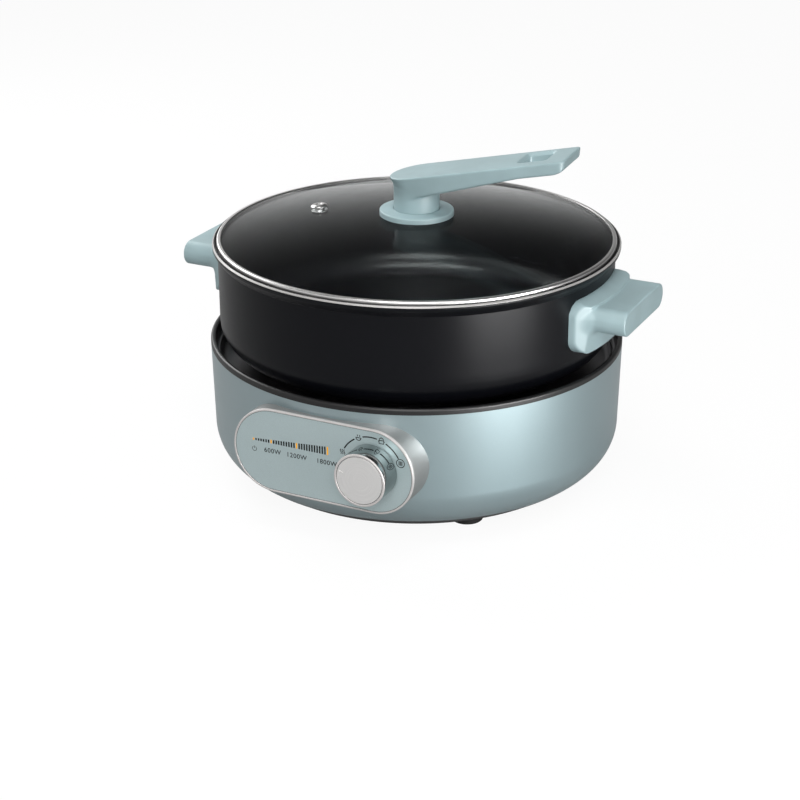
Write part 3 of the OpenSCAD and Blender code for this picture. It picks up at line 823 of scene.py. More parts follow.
FINISHES: dict[str, Finish] = {
    "housing": MetallicPaint("housing_paint", srgb(116, 150, 157), metallic=0.75, roughness=0.42, coat=1.0),
    "ring_black": MouldedPlastic("ring_plastic", srgb(16, 16, 17), roughness=0.38, grain=0.5, depth=0.008),
    "well_steel": GroundMetal("well_metal", (0.22, 0.22, 0.23), roughness=0.34),
    "cast_alloy": GroundMetal("plate_metal", (0.40, 0.40, 0.41), roughness=0.42, line=0.7, depth=0.03),
    "sheathed_tube": CastMetal("tube_metal", (0.22, 0.21, 0.21), grain=0.5),
    "steel": PolishedMetal("small_steel", (0.62, 0.62, 0.63), roughness=0.2),
    "black_plastic": MouldedPlastic("dark_plastic", srgb(26, 26, 28), roughness=0.5),
    "foot_rubber": Rubber("foot_finish", srgb(18, 18, 18)),
    "board": MouldedPlastic("board_green", srgb(38, 84, 56), roughness=0.35, grain=1.2),
    "panel_side": GroundMetal(
        "pod_metal", (0.34, 0.335, 0.33), Grind.ACROSS_Y,
        roughness=0.45, line=0.25, depth=0.004, metallic=0.75,
    ),
    "bright_trim": PolishedMetal("trim_metal", (0.70, 0.67, 0.66), roughness=0.4, metallic=0.4),
    "panel_face": MetallicPaint("face_paint", srgb(188, 206, 208), metallic=0.5, roughness=0.4, coat=0.15),
    "dark_window": Ink("dark_window_dye", srgb(14, 17, 19), roughness=0.2),
    # The amber windows carry an emission: a painted glow, with no lamp in them.
    "amber_window": Ink("amber_window_painted_glow", srgb(236, 168, 36), roughness=0.25, glow=0.25),
    "clear_plastic": ClearSheet("guide_plastic", (0.9, 0.95, 0.95), index=1.45, roughness=0.08),
    "knob_chrome": PolishedMetal("knob_plating", (0.28, 0.31, 0.31), roughness=0.06, smudge=0.04),
    "knob_face": GroundMetal(
        "knob_face_metal", (0.84, 0.83, 0.82), Grind.ROUND_Y, KNOB_CENTRE,
        roughness=0.45, depth=0.006, metallic=0.6,
    ),
    "spring_steel": PolishedMetal("spring_wire", (0.45, 0.45, 0.46), roughness=0.28),
    "pot_black": FiredCoating("pot_coating", srgb(8, 9, 14), roughness=0.31, specular=0.2),
    "pot_inside": FiredCoating("cooking_coating", srgb(14, 14, 17), roughness=0.31, specular=0.75),
    "sole": GroundMetal("sole_metal", (0.60, 0.59, 0.57), roughness=0.3, line=0.9, depth=0.02),
    "aqua_plastic": MouldedPlastic("handle_plastic", AQUA),
    "lid_glass": ClearSheet("toughened_glass", srgb(236, 240, 240), index=1.11),
    "lid_steel": PolishedMetal("edge_band_steel", (0.80, 0.79, 0.78), roughness=0.28),
    "silicone": Rubber("gasket_silicone", srgb(205, 202, 194), roughness=0.6),
    "bare_metal": PolishedMetal("rim_metal", (0.52, 0.51, 0.50), roughness=0.34, metallic=0.35),
    # Also used for the dark line that paints the shadow inside the trim.
    "print": Ink("panel_print_and_painted_shadow", srgb(12, 15, 17), roughness=0.5),
}


# ----------------------------------------------------------------------------------------------
# Workshop
# ----------------------------------------------------------------------------------------------


def added(name: str, data: bpy.types.ID) -> bpy.types.Object:
    """Returns a new object, which it puts into the scene."""
    made = bpy.data.objects.new(name, data)
    bpy.context.scene.collection.objects.link(made)
    return made


@dataclass
class Workshop:
    """Turns forms into pieces on the frame, and dresses the frame's own nodes."""

    record: dict
    nodes: dict[str, bpy.types.Object]

    @staticmethod
    def corners(node: str) -> tuple[Vector, Vector]:
        """Returns the lowest and the highest corner of a node, in millimetres."""
        low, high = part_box(node)
        return low / MM, high / MM

    def mesh(self, name: str, form: Form) -> bpy.types.Mesh:
        """Makes a mesh from a form.

        Args:
            name: Name of the mesh.
            form: The form, in millimetres.

        Returns:
            The mesh, in metres, with its faces turned outwards.
        """
        made = bpy.data.meshes.new(name)
        made.from_pydata((form.points * MM).tolist(), [], form.faces)
        if form.finishes:
            made.polygons.foreach_set("material_index", form.finishes)
        work = bmesh.new()
        work.from_mesh(made)
        bmesh.ops.recalc_face_normals(work, faces=work.faces)
        work.to_mesh(made)
        work.free()
        made.update()
        return made

    def piece(
        self,
        name: str,
        form: Form,
        body: str,
        slots: Sequence[str],
        replaces: Iterable[str] = (),
        sharp: float = 35.0,
        cuts: Sequence[Form] = (),
    ) -> bpy.types.Object:
        """Makes a piece and puts it on its body.

        Args:
            name: The piece's name.
            form: Its form, in millimetres.
            body: The body that it moves with.
            slots: The slots of its finishes, in the order of the form's finish numbers.
            replaces: The nodes that it stands for.
            sharp: Angle above which an edge shows as a crisp one, in degrees.
            cuts: Forms that are taken out of it.

        Returns:
            The piece.
        """
        made = added(name, self.mesh(name, form))
        self.coat(made, slots)
        for cut in cuts:
            self._cut(made, cut)
        self.finish(made, slots[0], sharp)
        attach(made, body)
        if replaces:
            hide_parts(*replaces)
        LOG.info("%s: %d faces on %s", name, len(made.data.polygons), body)
        return made

    def turned(
        self, name: str, section: Sequence[Point], body: str, slot: str,
        longest: float, segments: int, closed: bool = True,
    ) -> None:
        """Makes a turned piece that stands for the node of its own name.

        Args:
            name: Name of the piece and of the node.
            section: Its section.
            body: The body that it moves with.
            slot: The slot of its finish.
            longest: Length that no stretch of the section passes.
            segments: How many stretches a full turn has.
            closed: Whether the section's last point joins the first.
        """
        form = revolved(spread(section, longest), segments, closed)
        self.piece(name, form, body, [slot], [name])

    def _cut(self, piece: bpy.types.Object, cut: Form) -> None:
        """Takes a form out of a piece.

        Args:
            piece: The piece.
            cut: The form that is taken out.
        """
        tool = added("cut", self.mesh("cut", cut))
        step = piece.modifiers.new("cut", "BOOLEAN")
        step.object = tool
        step.operation = "DIFFERENCE"
        step.solver = "EXACT"
        view = bpy.context.evaluated_depsgraph_get()
        done = bpy.data.meshes.new_from_object(piece.evaluated_get(view))
        piece.modifiers.clear()
        piece.data = done
        bpy.data.objects.remove(tool)

    @staticmethod
    def coat(piece: bpy.types.Object, slots: Sequence[str]) -> None:
        """Gives a piece its finishes, in the order of the slots."""
        for slot in slots:
            piece.data.materials.append(FINISHES[slot].material())

    def finish(self, piece: bpy.types.Object, slot: str, sharp: float) -> None:
        """Smooths a piece.

        Args:
            piece: The piece.
            slot: The slot of its main finish. It is not used.
            sharp: Angle above which an edge shows as a crisp one, in degrees.
        """
        piece.data.shade_smooth()
        piece.data.set_sharp_from_angle(angle=math.radians(sharp))
        even = piece.modifiers.new("even_normals", "WEIGHTED_NORMAL")
        even.keep_sharp = True

    def dress_nodes(self) -> None:
        """Gives every node of the frame the finish of its slot."""
        for entry in self.record["subparts"]:
            node = self.nodes[entry["node"]]
            node.data.materials.clear()
            node.data.materials.append(FINISHES[entry["material_slot"]].material())
            LOG.info("%s: dressed as %s", node.name, entry["material_slot"])


# ----------------------------------------------------------------------------------------------
# Base
# ----------------------------------------------------------------------------------------------


def block(low: Point, high: Point) -> list[Point]:
    """Returns the corners of an upright rectangle."""
    return [low, (high[0], low[1]), high, (low[0], high[1])]


def grooves(radii: Iterable[float], face_z: float, half_w: Point, drop: float, soft: float) -> list[Corner]:
    """Returns the section of turned grooves in a flat face.

    Args:
        radii: Middle of each groove, from the outermost inwards.
        face_z: Height of the face.
        half_w: Half of a groove's width, at the face and at its bottom.
        drop: How far its bottom is below the face. It is negative in a lower face.
        soft: Rounding of its edges.

    Returns:
        The corners, as the function rounded takes them.
    """
    top, bottom = half_w
    bottom_soft = 0.1
    corners = []
    for radius in radii:
        corners += [
            (radius + top, face_z, soft), (radius + bottom, face_z - drop, bottom_soft),
            (radius - bottom, face_z - drop, bottom_soft), (radius - top, face_z, soft),
        ]
    return corners


def prism(outline: Sequence[Point], from_y: float, to_y: float) -> Form:
    """Makes a closed prism along Y.

    Args:
        outline: Its outline, sideways and upwards.
        from_y: Where it starts.
        to_y: Where it ends.

    Returns:
        The prism.
    """
    count = len(outline)
    points = [(x, y, z) for y in (from_y, to_y) for x, z in outline]
    sides = [(i, (i + 1) % count, count + (i + 1) % count, count + i) for i in range(count)]
    ends = [tuple(range(count)), tuple(range(2 * count - 1, count - 1, -1))]
    return Form(np.array(points, float), sides + ends)


@dataclass
class Housing:
    """Painted housing of the base."""

    shop: Workshop
    waist_r: float = 157.0
    corner_r: float = 33.6
    corner_z: float = 41.9
    wall: float = 2.0
    lip_r: float = 128.0
    inlet_w: float = 39.0
    inlet_h: float = 25.0
    inlet_z: float = 62.0
    cut_in: float = 25.0
    cut_out: float = 15.0
    skirt_z: float = 16.4
    corner_steps: int = 36
    longest: float = 7.0
    segments: int = 288

    def __post_init__(self) -> None:
        """Takes the outer sizes from the frame."""
        low, high = self.shop.corners("base_shell")
        self.top_r = high.x
        self.top_z = high.z
        self.bottom_z = low.z

    def _line(self, inset: float) -> list[Point]:
        """Returns the wall's section from the top edge down, moved inwards by inset."""
        centre = (self.waist_r - self.corner_r, self.corner_z)
        end = math.degrees(math.asin((self.corner_z - self.bottom_z) / self.corner_r))
        corner = arc(centre, self.corner_r - inset, 0, -end, self.corner_steps)
        return [(self.top_r - inset, self.top_z), *corner]

    def radius_at(self, z: float) -> float:
        """Returns the housing's outer radius at a height."""
        if z >= self.corner_z:
            rise = (z - self.corner_z) / (self.top_z - self.corner_z)
            return self.waist_r + (self.top_r - self.waist_r) * rise
        drop = self.corner_z - z
        return self.waist_r - self.corner_r + math.sqrt(self.corner_r**2 - drop**2)

    def build(self, openings: Sequence[Form]) -> None:
        """Builds the housing, with a black skirt at its foot.

        Args:
            openings: The forms that are cut out of its wall, apart from the power inlet's.
        """
        lip = [(self.lip_r, self.bottom_z), (self.lip_r, self.bottom_z + self.wall)]
        wall = spread(self._line(0) + lip + self._line(self.wall)[::-1], self.longest)
        half_w, half_h = self.inlet_w / 2, self.inlet_h / 2
        sides = block((-half_w, self.inlet_z - half_h), (half_w, self.inlet_z + half_h))
        inlet = prism(sides, self.waist_r - self.cut_in, self.top_r + self.cut_out)
        form = revolved(wall, self.segments)
        slots = ["housing", "ring_black"]
        made = self.shop.piece("housing", form, "base", slots, ["base_shell"], cuts=[*openings, inlet])
        for face in made.data.polygons:
            face.material_index = int(face.center.z < self.skirt_z * MM)


@dataclass
class HeatingDeck:
    """Black top ring, steel well and heating plate: what shows when the pot is lifted out."""

    shop: Workshop
    ring_w: float = 4.0
    ring_fall: float = 0.3
    lap: float = 2.4
    sheet: float = 1.2
    well_hole_r: float = 78.0
    well_gap: float = 3.6
    plate_hole_r: float = 16.0
    groove_radii: tuple[float, ...] = (74.0, 58.0, 42.0)
    groove_half: Point = (1.2, 0.7)
    groove_depth: float = 0.5
    segments: int = 288
    plate_segments: int = 192

    def ring(self) -> None:
        """Builds the top ring with its soft lip."""
        low, high = self.shop.corners("top_ring")
        outer = high.x
        inner = outer - self.ring_w
        lap_r = outer - self.lap
        seat = self.shop.corners("base_shell")[1].z
        section = rounded([
            (outer, seat, 0), (outer, high.z, 1.7), (inner, high.z - self.ring_fall, 1.6),
            (inner, low.z, 0.3), (lap_r, low.z, 0.2), (lap_r, seat, 0),
        ])
        self.shop.turned("top_ring", section, "base", "ring_black", 4.0, self.segments)

    def well(self) -> None:
        """Builds the pressed well round the plate."""
        low, high = self.shop.corners("heat_well")
        hole_r = self.well_hole_r
        wall_r = high.x - self.well_gap
        inner_r = wall_r - self.sheet
        floor, under = low.z + self.sheet, high.z - self.sheet
        section = rounded([
            (hole_r, low.z, 0), (wall_r, low.z, 7), (wall_r, under, 1), (high.x, under, 0),
            (high.x, high.z, 0), (inner_r, high.z, 1.8), (inner_r, floor, 6), (hole_r, floor, 0),
        ])
        self.shop.turned("heat_well", section, "base", "well_steel", 9.0, self.segments)

    def plate(self) -> None:
        """Builds the cast plate with its turned face and shallow grooves."""
        low, high = self.shop.corners("heating_plate")
        edge_r, hole_r = high.x, self.plate_hole_r
        section = rounded([
            (hole_r, low.z, 0), (edge_r, low.z, 0.8), (edge_r, high.z, 1.5),
            *grooves(self.groove_radii, high.z, self.groove_half, self.groove_depth, 0.3),
            (hole_r, high.z, 1.0),
        ])
        self.shop.turned("heating_plate", section, "base", "cast_alloy", 6.0, self.plate_segments)

    def build(self) -> None:
        """Builds all three pieces."""
        self.ring()
        self.well()
        self.plate()


@dataclass
class Feet:
    """Four rubber feet with a grooved sole."""

    shop: Workshop
    pitch_r: float = 113.5
    radius: float = 12.0
    flare: float = 0.4
    hole_r: float = 4.2
    hole_z: float = 0.4
    screw_r: float = 2.0
    seat_z: float = 3.5
    groove_radii: Point = (7.2, 9.0)
    groove_draft: float = 0.2
    groove_depth: float = 0.9
    segments: int = 64

    def build(self) -> None:
        """Builds the feet as one piece."""
        top = self.shop.corners("feet")[1].z
        soft = 0.2
        inner, outer = self.groove_radii
        section = rounded([
            (self.hole_r, self.hole_z, 0.3), (inner, 0.0, soft),
            (inner + self.groove_draft, self.groove_depth, soft),
            (outer - self.groove_draft, self.groove_depth, soft), (outer, 0.0, soft),
            (self.radius, 0.0, 1.2), (self.radius + self.flare, top, 0), (self.screw_r, top, 0),
            (self.screw_r, self.seat_z, 0), (self.hole_r, self.seat_z, soft),
        ])
        foot = revolved(section, self.segments).placed(Matrix.Translation((self.pitch_r, 0, 0)))
        form = None
        for angle in (45, 135, 225, 315):
            copy = foot.placed(Matrix.Rotation(math.radians(angle), 4, "Z"))
            form = form.joined(copy) if form else copy
        self.shop.piece("feet", form, "base", ["foot_rubber"], ["feet"])


# ----------------------------------------------------------------------------------------------
# Control panel and knob
# ----------------------------------------------------------------------------------------------


@dataclass
class Panel:
    """Pod on the front of the base, with its trim and print."""

    shop: Workshop
    housing: Housing
    trim_w: float = 1.5
    wall: float = 2.4
    bite: float = 1.2
    opening_inset: float = 6.0
    opening_in: float = 60.0
    edge: float = 0.3
    arc_steps: int = 40
    straight_steps: int = 20

    def __post_init__(self) -> None:
        """Takes the outline from the frame."""
        low, high = self.shop.corners("trim_ring")
        self.radius = (high.z - low.z) / 2
        self.half = (high.x - low.x) / 2 - self.radius
        self.centre = ((low.x + high.x) / 2, (low.z + high.z) / 2)
        self.front_y = low.y
        self.back_y = high.y
        self.face_y = self.shop.corners("control_face")[0].y

    def outline(self, radius: float) -> list[Point]:
        """Returns the pod's outline with round ends of a given radius."""
        x, z = self.centre
        shares = [1 - 2 * step / self.straight_steps for step in range(1, self.straight_steps)]
        return [
            *arc((x + self.half, z), radius, -90, 90, self.arc_steps),
            *((x + self.half * share, z + radius) for share in shares),
            *arc((x - self.half, z), radius, 90, 270, self.arc_steps),
            *((x - self.half * share, z - radius) for share in shares),
        ]

    def opening(self) -> Form:
        """Returns the hole in the housing behind the pod."""
        outline = self.outline(self.radius - self.opening_inset)
        front_y = -self.housing.top_r - self.housing.cut_out
        return prism(outline, front_y, -self.housing.waist_r + self.opening_in)

    def _back_ring(self, radius: float) -> list[tuple[float, float, float]]:
        """Returns the ring where the pod's wall runs into the housing."""
        made = []
        for x, z in self.outline(radius):
            surface = math.sqrt(self.housing.radius_at(z) ** 2 - x**2)
            made.append((x, self.bite - surface, z))
        return made

    def _ring(self, radius: float, y: float) -> list[tuple[float, float, float]]:
        """Returns a ring of the outline at one depth."""
        return [(x, y, z) for x, z in self.outline(radius)]

    def side(self) -> None:
        """Builds the brushed wall of the pod."""
        outer, inner = self.radius, self.radius - self.wall
        rings = [
            self._back_ring(outer),
            self._ring(outer, self.back_y + self.edge),
            self._ring(outer - self.edge, self.back_y),
            self._ring(inner, self.back_y),
            self._back_ring(inner),
        ]
        self.shop.piece("pod_side", looped(rings), "base", ["panel_side"], ["control_housing"])

    def trim(self) -> None:
        """Builds the bright trim round the face."""
        outer, inner = self.radius, self.radius - self.trim_w
        section = rounded([
            (outer, self.back_y, 0.15), (outer, self.front_y, 0.6),
            (inner, self.front_y, 0.45), (inner, self.back_y, 0),
        ])
        rings = [self._ring(radius, y) for radius, y in section]
        self.shop.piece("trim_ring", looped(rings), "base", ["bright_trim"], ["trim_ring"])

    def build(self) -> None:
        """Builds the pod."""
        self.side()
        self.trim()


@dataclass
class PanelPrint:
    """Generic lettering, arcs and small signs printed on the panel's face."""

    shop: Workshop
    panel: Panel
    thickness: float = 0.04
    letter_h: float = 3.7
    size_per_height: float = 1.37
    letter_gap: float = 1.12
    letter_gain: float = 0.05
    relief: float = 0.1
    sharp: float = 30.0
    labels_z: float = 65.2
    line_w: float = 0.72
    # Width and inset of the dark line that paints the shadow in the gap inside the trim.
    arc_w: float = 1.15
    shadow_line_w: float = 0.32
    shadow_line_inset: float = 0.12
    dial: Point = (43.6, 67.3)
    dial_r: float = 24.6
    power_x: float = -51.4
    power_drop: float = 0.6
    power_r: float = 1.75
    power_w: float = 0.45

    def _lay(self, piece: bpy.types.Object, name: str) -> None:
        """Turns a curve or text into a flat print on the face.

        Args:
            piece: The curve or text object, in metres, on the plane of the face.
            name: Name of the piece.
        """
        bpy.context.view_layer.update()
        view = bpy.context.evaluated_depsgraph_get()
        made = bpy.data.meshes.new_from_object(piece.evaluated_get(view))
        made.transform(piece.matrix_world)
        bpy.data.objects.remove(piece)
        face = self.panel.face_y * MM
        reach = max(abs(v.co.y - face) for v in made.vertices)
        for v in made.vertices:
            v.co.y = face + (v.co.y - face) * self.thickness * MM / reach
        laid = added(name, made)
        self.shop.coat(laid, ["print"])
        self.shop.finish(laid, "print", self.sharp)
        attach(laid, "base")
        LOG.info("%s: %d faces on base", name, len(made.polygons))

    def label(self, name: str, text: str, x: float) -> None:
        """Prints a short text.

        Args:
            name: Name of the piece.
            text: What it says.
            x: Place of its middle.
        """
        curve = bpy.data.curves.new(name, "FONT")
        curve.body = text
        curve.size = self.letter_h * self.size_per_height * MM
        curve.align_x = "CENTER"
        curve.align_y = "CENTER"
        curve.space_character = self.letter_gap
        curve.offset = self.letter_gain * MM
        curve.extrude = self.relief * MM
        piece = added(name, curve)
        piece.rotation_euler = (math.pi / 2, 0, 0)
        piece.location = (x * MM, self.panel.face_y * MM, self.labels_z * MM)
        self._lay(piece, name)

    def strokes(self, name: str, lines: Sequence[Sequence[Point]], width: float) -> None:
        """Prints lines.

        Args:
            name: Name of the piece.
            lines: The points of each line, sideways and upwards.
            width: Width of the lines.
        """
        curve = bpy.data.curves.new(name, "CURVE")
        curve.dimensions = "3D"
        curve.bevel_depth = width / 2 * MM
        curve.bevel_resolution = 1
        curve.use_fill_caps = True
        for line in lines:
            spline = curve.splines.new("POLY")
            spline.points.add(len(line) - 1)
            for point, (x, z) in zip(spline.points, line):
                point.co = (x * MM, self.panel.face_y * MM, z * MM, 1)
        self._lay(added(name, curve), name)

    def sign(self, name: str, angle: float, lines: Sequence[Sequence[Point]]) -> None:
        """Prints a sign on the ring round the knob.

        Args:
            name: Name of the piece.
            angle: Its place on the ring, in degrees from the right.
            lines: The points of each line, from the sign's middle.
        """
        a = math.radians(angle)
        middle = (self.dial[0] + self.dial_r * math.cos(a), self.dial[1] + self.dial_r * math.sin(a))
        moved = [[(middle[0] + x, middle[1] + z) for x, z in line] for line in lines]
        self.strokes(name, moved, self.line_w)

    def power_sign(self) -> None:
        """Prints the usual power sign, a ring with a bar."""
        x, z = self.power_x, self.labels_z - self.power_drop
        ring = arc((x, z), self.power_r, 120, 420, 20)
        bar = [(x, z + 0.3), (x, z + 2.3)]
        self.strokes("power_sign", [ring, bar], self.power_w)

    def paint_trim_shadow(self) -> None:
        """Prints a thin dark line just inside the trim: painted shadow in the gap between the trim and the
        face.
        """
        line = self.panel.outline(self.panel.radius - self.panel.trim_w - self.shadow_line_inset)
        self.strokes("trim_painted_shadow", [[*line, line[0]]], self.shadow_line_w)

    def dial_arcs(self) -> None:
        """Prints the stretches of ring between the signs."""
        gaps = [(150.5, 122.5), (106.0, 79.5), (62.5, 30.5)]
        self.strokes("dial_arcs", [arc(self.dial, self.dial_r, a, b, 16) for a, b in gaps], self.arc_w)

    def build(self) -> None:
        """Prints everything."""
        for text, x in (("600W", -36.4), ("1200W", -16.6), ("1800W", 7.8)):
            self.label(f"label_{text}", text, x)
        # Painted shadow along the inside of the trim.
        self.paint_trim_shadow()
        self.power_sign()
        self.dial_arcs()
        self.sign("warm_sign", 158, waves())
        self.sign("soup_sign", 114, steaming_bowl())
        self.sign("stew_sign", 71, lidded_pot())
        self.sign("grill_sign", 22, barred_pan())


def waves() -> list[list[Point]]:
    """Returns three short upright waves, for keeping warm."""
    pitch, swing, turn, rise, low = 1.4, 0.45, 1.3, 0.76, -1.9
    return [
        [(shift + swing * math.sin(t * turn), low + t * rise) for t in range(6)]
        for shift in (-pitch, 0.0, pitch)
    ]


def steaming_bowl() -> list[list[Point]]:
    """Returns a bowl with steam, for soup."""
    half, rim_half = 2.2, 2.3
    bowl = [(-half, 0.0), *arc((0, 0), 2.0, 180, 360, 10), (half, 0.0)]
    rim = [(-rim_half, 0.0), (rim_half, 0.0)]
    steam = [[(x, 0.9), (x + 0.25, 1.6), (x, 2.3)] for x in (-0.9, 0.9)]
    return [bowl, rim, *steam]


def lidded_pot() -> list[list[Point]]:
    """Returns a pot with a lid and two handles, for stews."""
    half, low, top = 1.8, -1.9, 0.5
    pot = [(-half, top), (-half, low), (half, low), (half, top), (-half, top)]
    lid = arc((0, 0.9), 1.6, 0, 180, 8)
    knob = [(-0.4, 2.6), (0.4, 2.6)]
    handles = [[(side * half, -0.2), (side * 2.6, -0.2)] for side in (-1, 1)]
    return [pot, lid, knob, *handles]


def barred_pan() -> list[list[Point]]:
    """Returns a round pan with bars, for grilling."""
    radius, half, pitch = 3.1, 1.7, 1.1
    bars = [[(x, -half), (x, half)] for x in (-pitch, 0.0, pitch)]
    return [arc((0, 0), radius, 0, 360, 20), *bars]


@dataclass
class Knob:
    """Chrome knob with a turned face and a pointer notch."""

    shop: Workshop
    groove_w: float = 0.5
    rim_w: float = 1.7
    rim_depth: float = 0.8
    skirt: float = 2.4
    roof: float = 3.0
    hollow: float = 6.0
    recess: float = 1.0
    hub_r: float = 6.5
    shaft_r: float = 3.0
    hub_z: float = 0.4
    disc_drop: float = 0.1
    notch_from: float = 4.4
    notch_to: float = 1.2
    notch_half: float = 0.45
    notch_depth: float = 0.6
    pointer_angle: float = 162.0
    segments: int = 160

    def __post_init__(self) -> None:
        """Takes the place and size from the frame."""
        low, high = self.shop.corners("knob_cap")
        self.radius = (high.x - low.x) / 2
        self.length = high.y - low.y
        middle = (low + high) / 2
        turn = Matrix.Rotation(math.pi / 2, 4, "X")
        self.place = Matrix.Translation((middle.x, high.y, middle.z)) @ turn

    def cap(self) -> None:
        """Builds the cap with its skirt and hub."""
        radius, length = self.radius, self.length
        face, under, hollow_z = length - self.recess, length - self.recess - self.roof, length - self.hollow
        rim_r, skirt_r = radius - self.rim_w, radius - self.skirt
        section = rounded([
            (skirt_r, 0, 0.3), (radius, 0, 0.4), (radius, length, 0.9), (rim_r, length, 0.3),
            (rim_r, face, 0), (0, face, 0), (0, under, 0), (self.shaft_r, under, 0),
            (self.shaft_r, self.hub_z, 0), (self.hub_r, self.hub_z, 0), (self.hub_r, hollow_z, 0.4),
            (skirt_r, hollow_z, 0.4),
        ])

        def on_rim(middle: np.ndarray) -> bool:
            """Says whether a face is on the turned front of the rim."""
            return middle[2] > length - self.rim_depth

        form = revolved(spread(section, 4.0), self.segments).painted(1, on_rim).placed(self.place)
        self.shop.piece("knob_cap", form, "knob", ["knob_chrome", "bright_trim"], ["knob_cap"])

    def disc(self) -> None:
        """Builds the turned face with the pointer notch."""
        radius = self.radius - self.rim_w - self.groove_w
        top, bottom = self.length - self.disc_drop, self.length - self.recess
        section = rounded([(0, bottom, 0), (radius, bottom, 0), (radius, top - 0.1, 0.3), (0, top, 0)])
        form = revolved(spread(section, 3.0), self.segments).placed(self.place)
        sides = block((radius - self.notch_from, -self.notch_half), (radius - self.notch_to, self.notch_half))
        notch = prism(sides, top - self.notch_depth, top + 1.0)
        turned = Matrix.Rotation(math.radians(self.pointer_angle), 4, "Z")
        upright = Matrix(((1, 0, 0, 0), (0, 0, 1, 0), (0, 1, 0, 0), (0, 0, 0, 1)))
        cut = notch.placed(self.place @ turned @ upright)
        self.shop.piece("knob_disc", form, "knob", ["knob_face"], ["knob_disc"], cuts=[cut])

    def build(self) -> None:
        """Builds the knob."""
        self.cap()
        self.disc()


# ----------------------------------------------------------------------------------------------
# Pot
# ----------------------------------------------------------------------------------------------


@dataclass
class Pot:
    """Coated pot with its bare rim edge and grooved sole."""

    shop: Workshop
    wall_r: float = 151.0
    wall: float = 2.5
    fillet_r: float = 20.0
    ledge: float = 2.1
    ledge_drop: float = 2.7
    crease_drop: float = 9.0
    flare: tuple[Point, Point] = ((0.4, 5.0), (0.0, 6.6))
    bevel: float = 1.0
    throat_w: float = 0.3
    throat_h: Point = (2.0, 4.0)
    bare_w: float = 1.25
    groove_count: int = 11
    groove_inset: float = 8.0
    groove_pitch: float = 10.0
    groove_half: Point = (0.9, 0.5)
    groove_depth: float = 0.4
    segments: int = 320
    sole_segments: int = 192

    def body(self) -> None:
        """Builds the pressed pot with its flared rim."""
        low, high = self.shop.corners("pot_body")
        inner = self.wall_r - self.wall
        throat = inner - self.throat_w
        floor_z = low.z + self.wall
        rim_r, rim_z = high.x, high.z
        ledge_r, ledge_z = rim_r - self.ledge, rim_z - self.ledge_drop
        crease_z = rim_z - self.crease_drop
        (first_w, first_h), (second_w, second_h) = self.flare
        section = rounded([
            (0, low.z, 0), (self.wall_r, low.z, self.fillet_r + self.wall), (self.wall_r, crease_z, 0.8),
            (rim_r - first_w, crease_z + first_h, 2.0), (rim_r - second_w, crease_z + second_h, 0.6),
            (rim_r, rim_z - self.bevel, 0.3), (rim_r - self.bevel, rim_z, 0.3),
            (ledge_r, rim_z, 0.5), (ledge_r, ledge_z, 0.3), (throat, ledge_z, 0.4),
            (throat, ledge_z - self.throat_h[0], 1.0), (inner, ledge_z - self.throat_h[1], 1.0),
            (inner, floor_z, self.fillet_r), (0, floor_z, 0),
        ], steps=8)

        def bare(middle: np.ndarray) -> bool:
            """Says whether a face is on the turned edge of the rim."""
            out = math.hypot(middle[0], middle[1])
            return out > rim_r - self.bare_w and middle[2] > rim_z - self.bare_w

        def inside(middle: np.ndarray) -> bool:
            """Says whether a face is on the cooking side."""
            out = math.hypot(middle[0], middle[1])
            slack = 0.1
            near = out < inner + slack and middle[2] > floor_z - slack
            return near and not self._outside(middle, low.z)

        form = revolved(spread(section, 6.0), self.segments, closed=False)
        form = form.painted(1, bare).painted(2, inside)
        self.shop.piece("pot_body", form, "pot", ["pot_black", "bare_metal", "pot_inside"], ["pot_body"])

    def _outside(self, middle: np.ndarray, low_z: float) -> bool:
        """Says whether a face near the round of the floor is on the outer side."""
        half = self.fillet_r + self.wall / 2
        out = math.hypot(middle[0], middle[1]) - (self.wall_r - self.wall - self.fillet_r)
        down = low_z + self.wall + self.fillet_r - middle[2]
        return out > 0 and down > 0 and math.hypot(out, down) > half

    def sole(self) -> None:
        """Builds the bonded sole with turned grooves."""
        low, high = self.shop.corners("pot_sole")
        radius = high.x
        radii = [radius - self.groove_inset - self.groove_pitch * step for step in range(self.groove_count)]
        section = rounded([
            (0, high.z, 0), (radius, high.z, 0), (radius, low.z, 0.7),
            *grooves(radii, low.z, self.groove_half, -self.groove_depth, 0.2),
            (0, low.z, 0),
        ])
        self.shop.turned("pot_sole", section, "pot", "sole", 6.0, self.sole_segments, closed=False)

    def build(self) -> None:
        """Builds the pot."""
        self.body()
        self.sole()


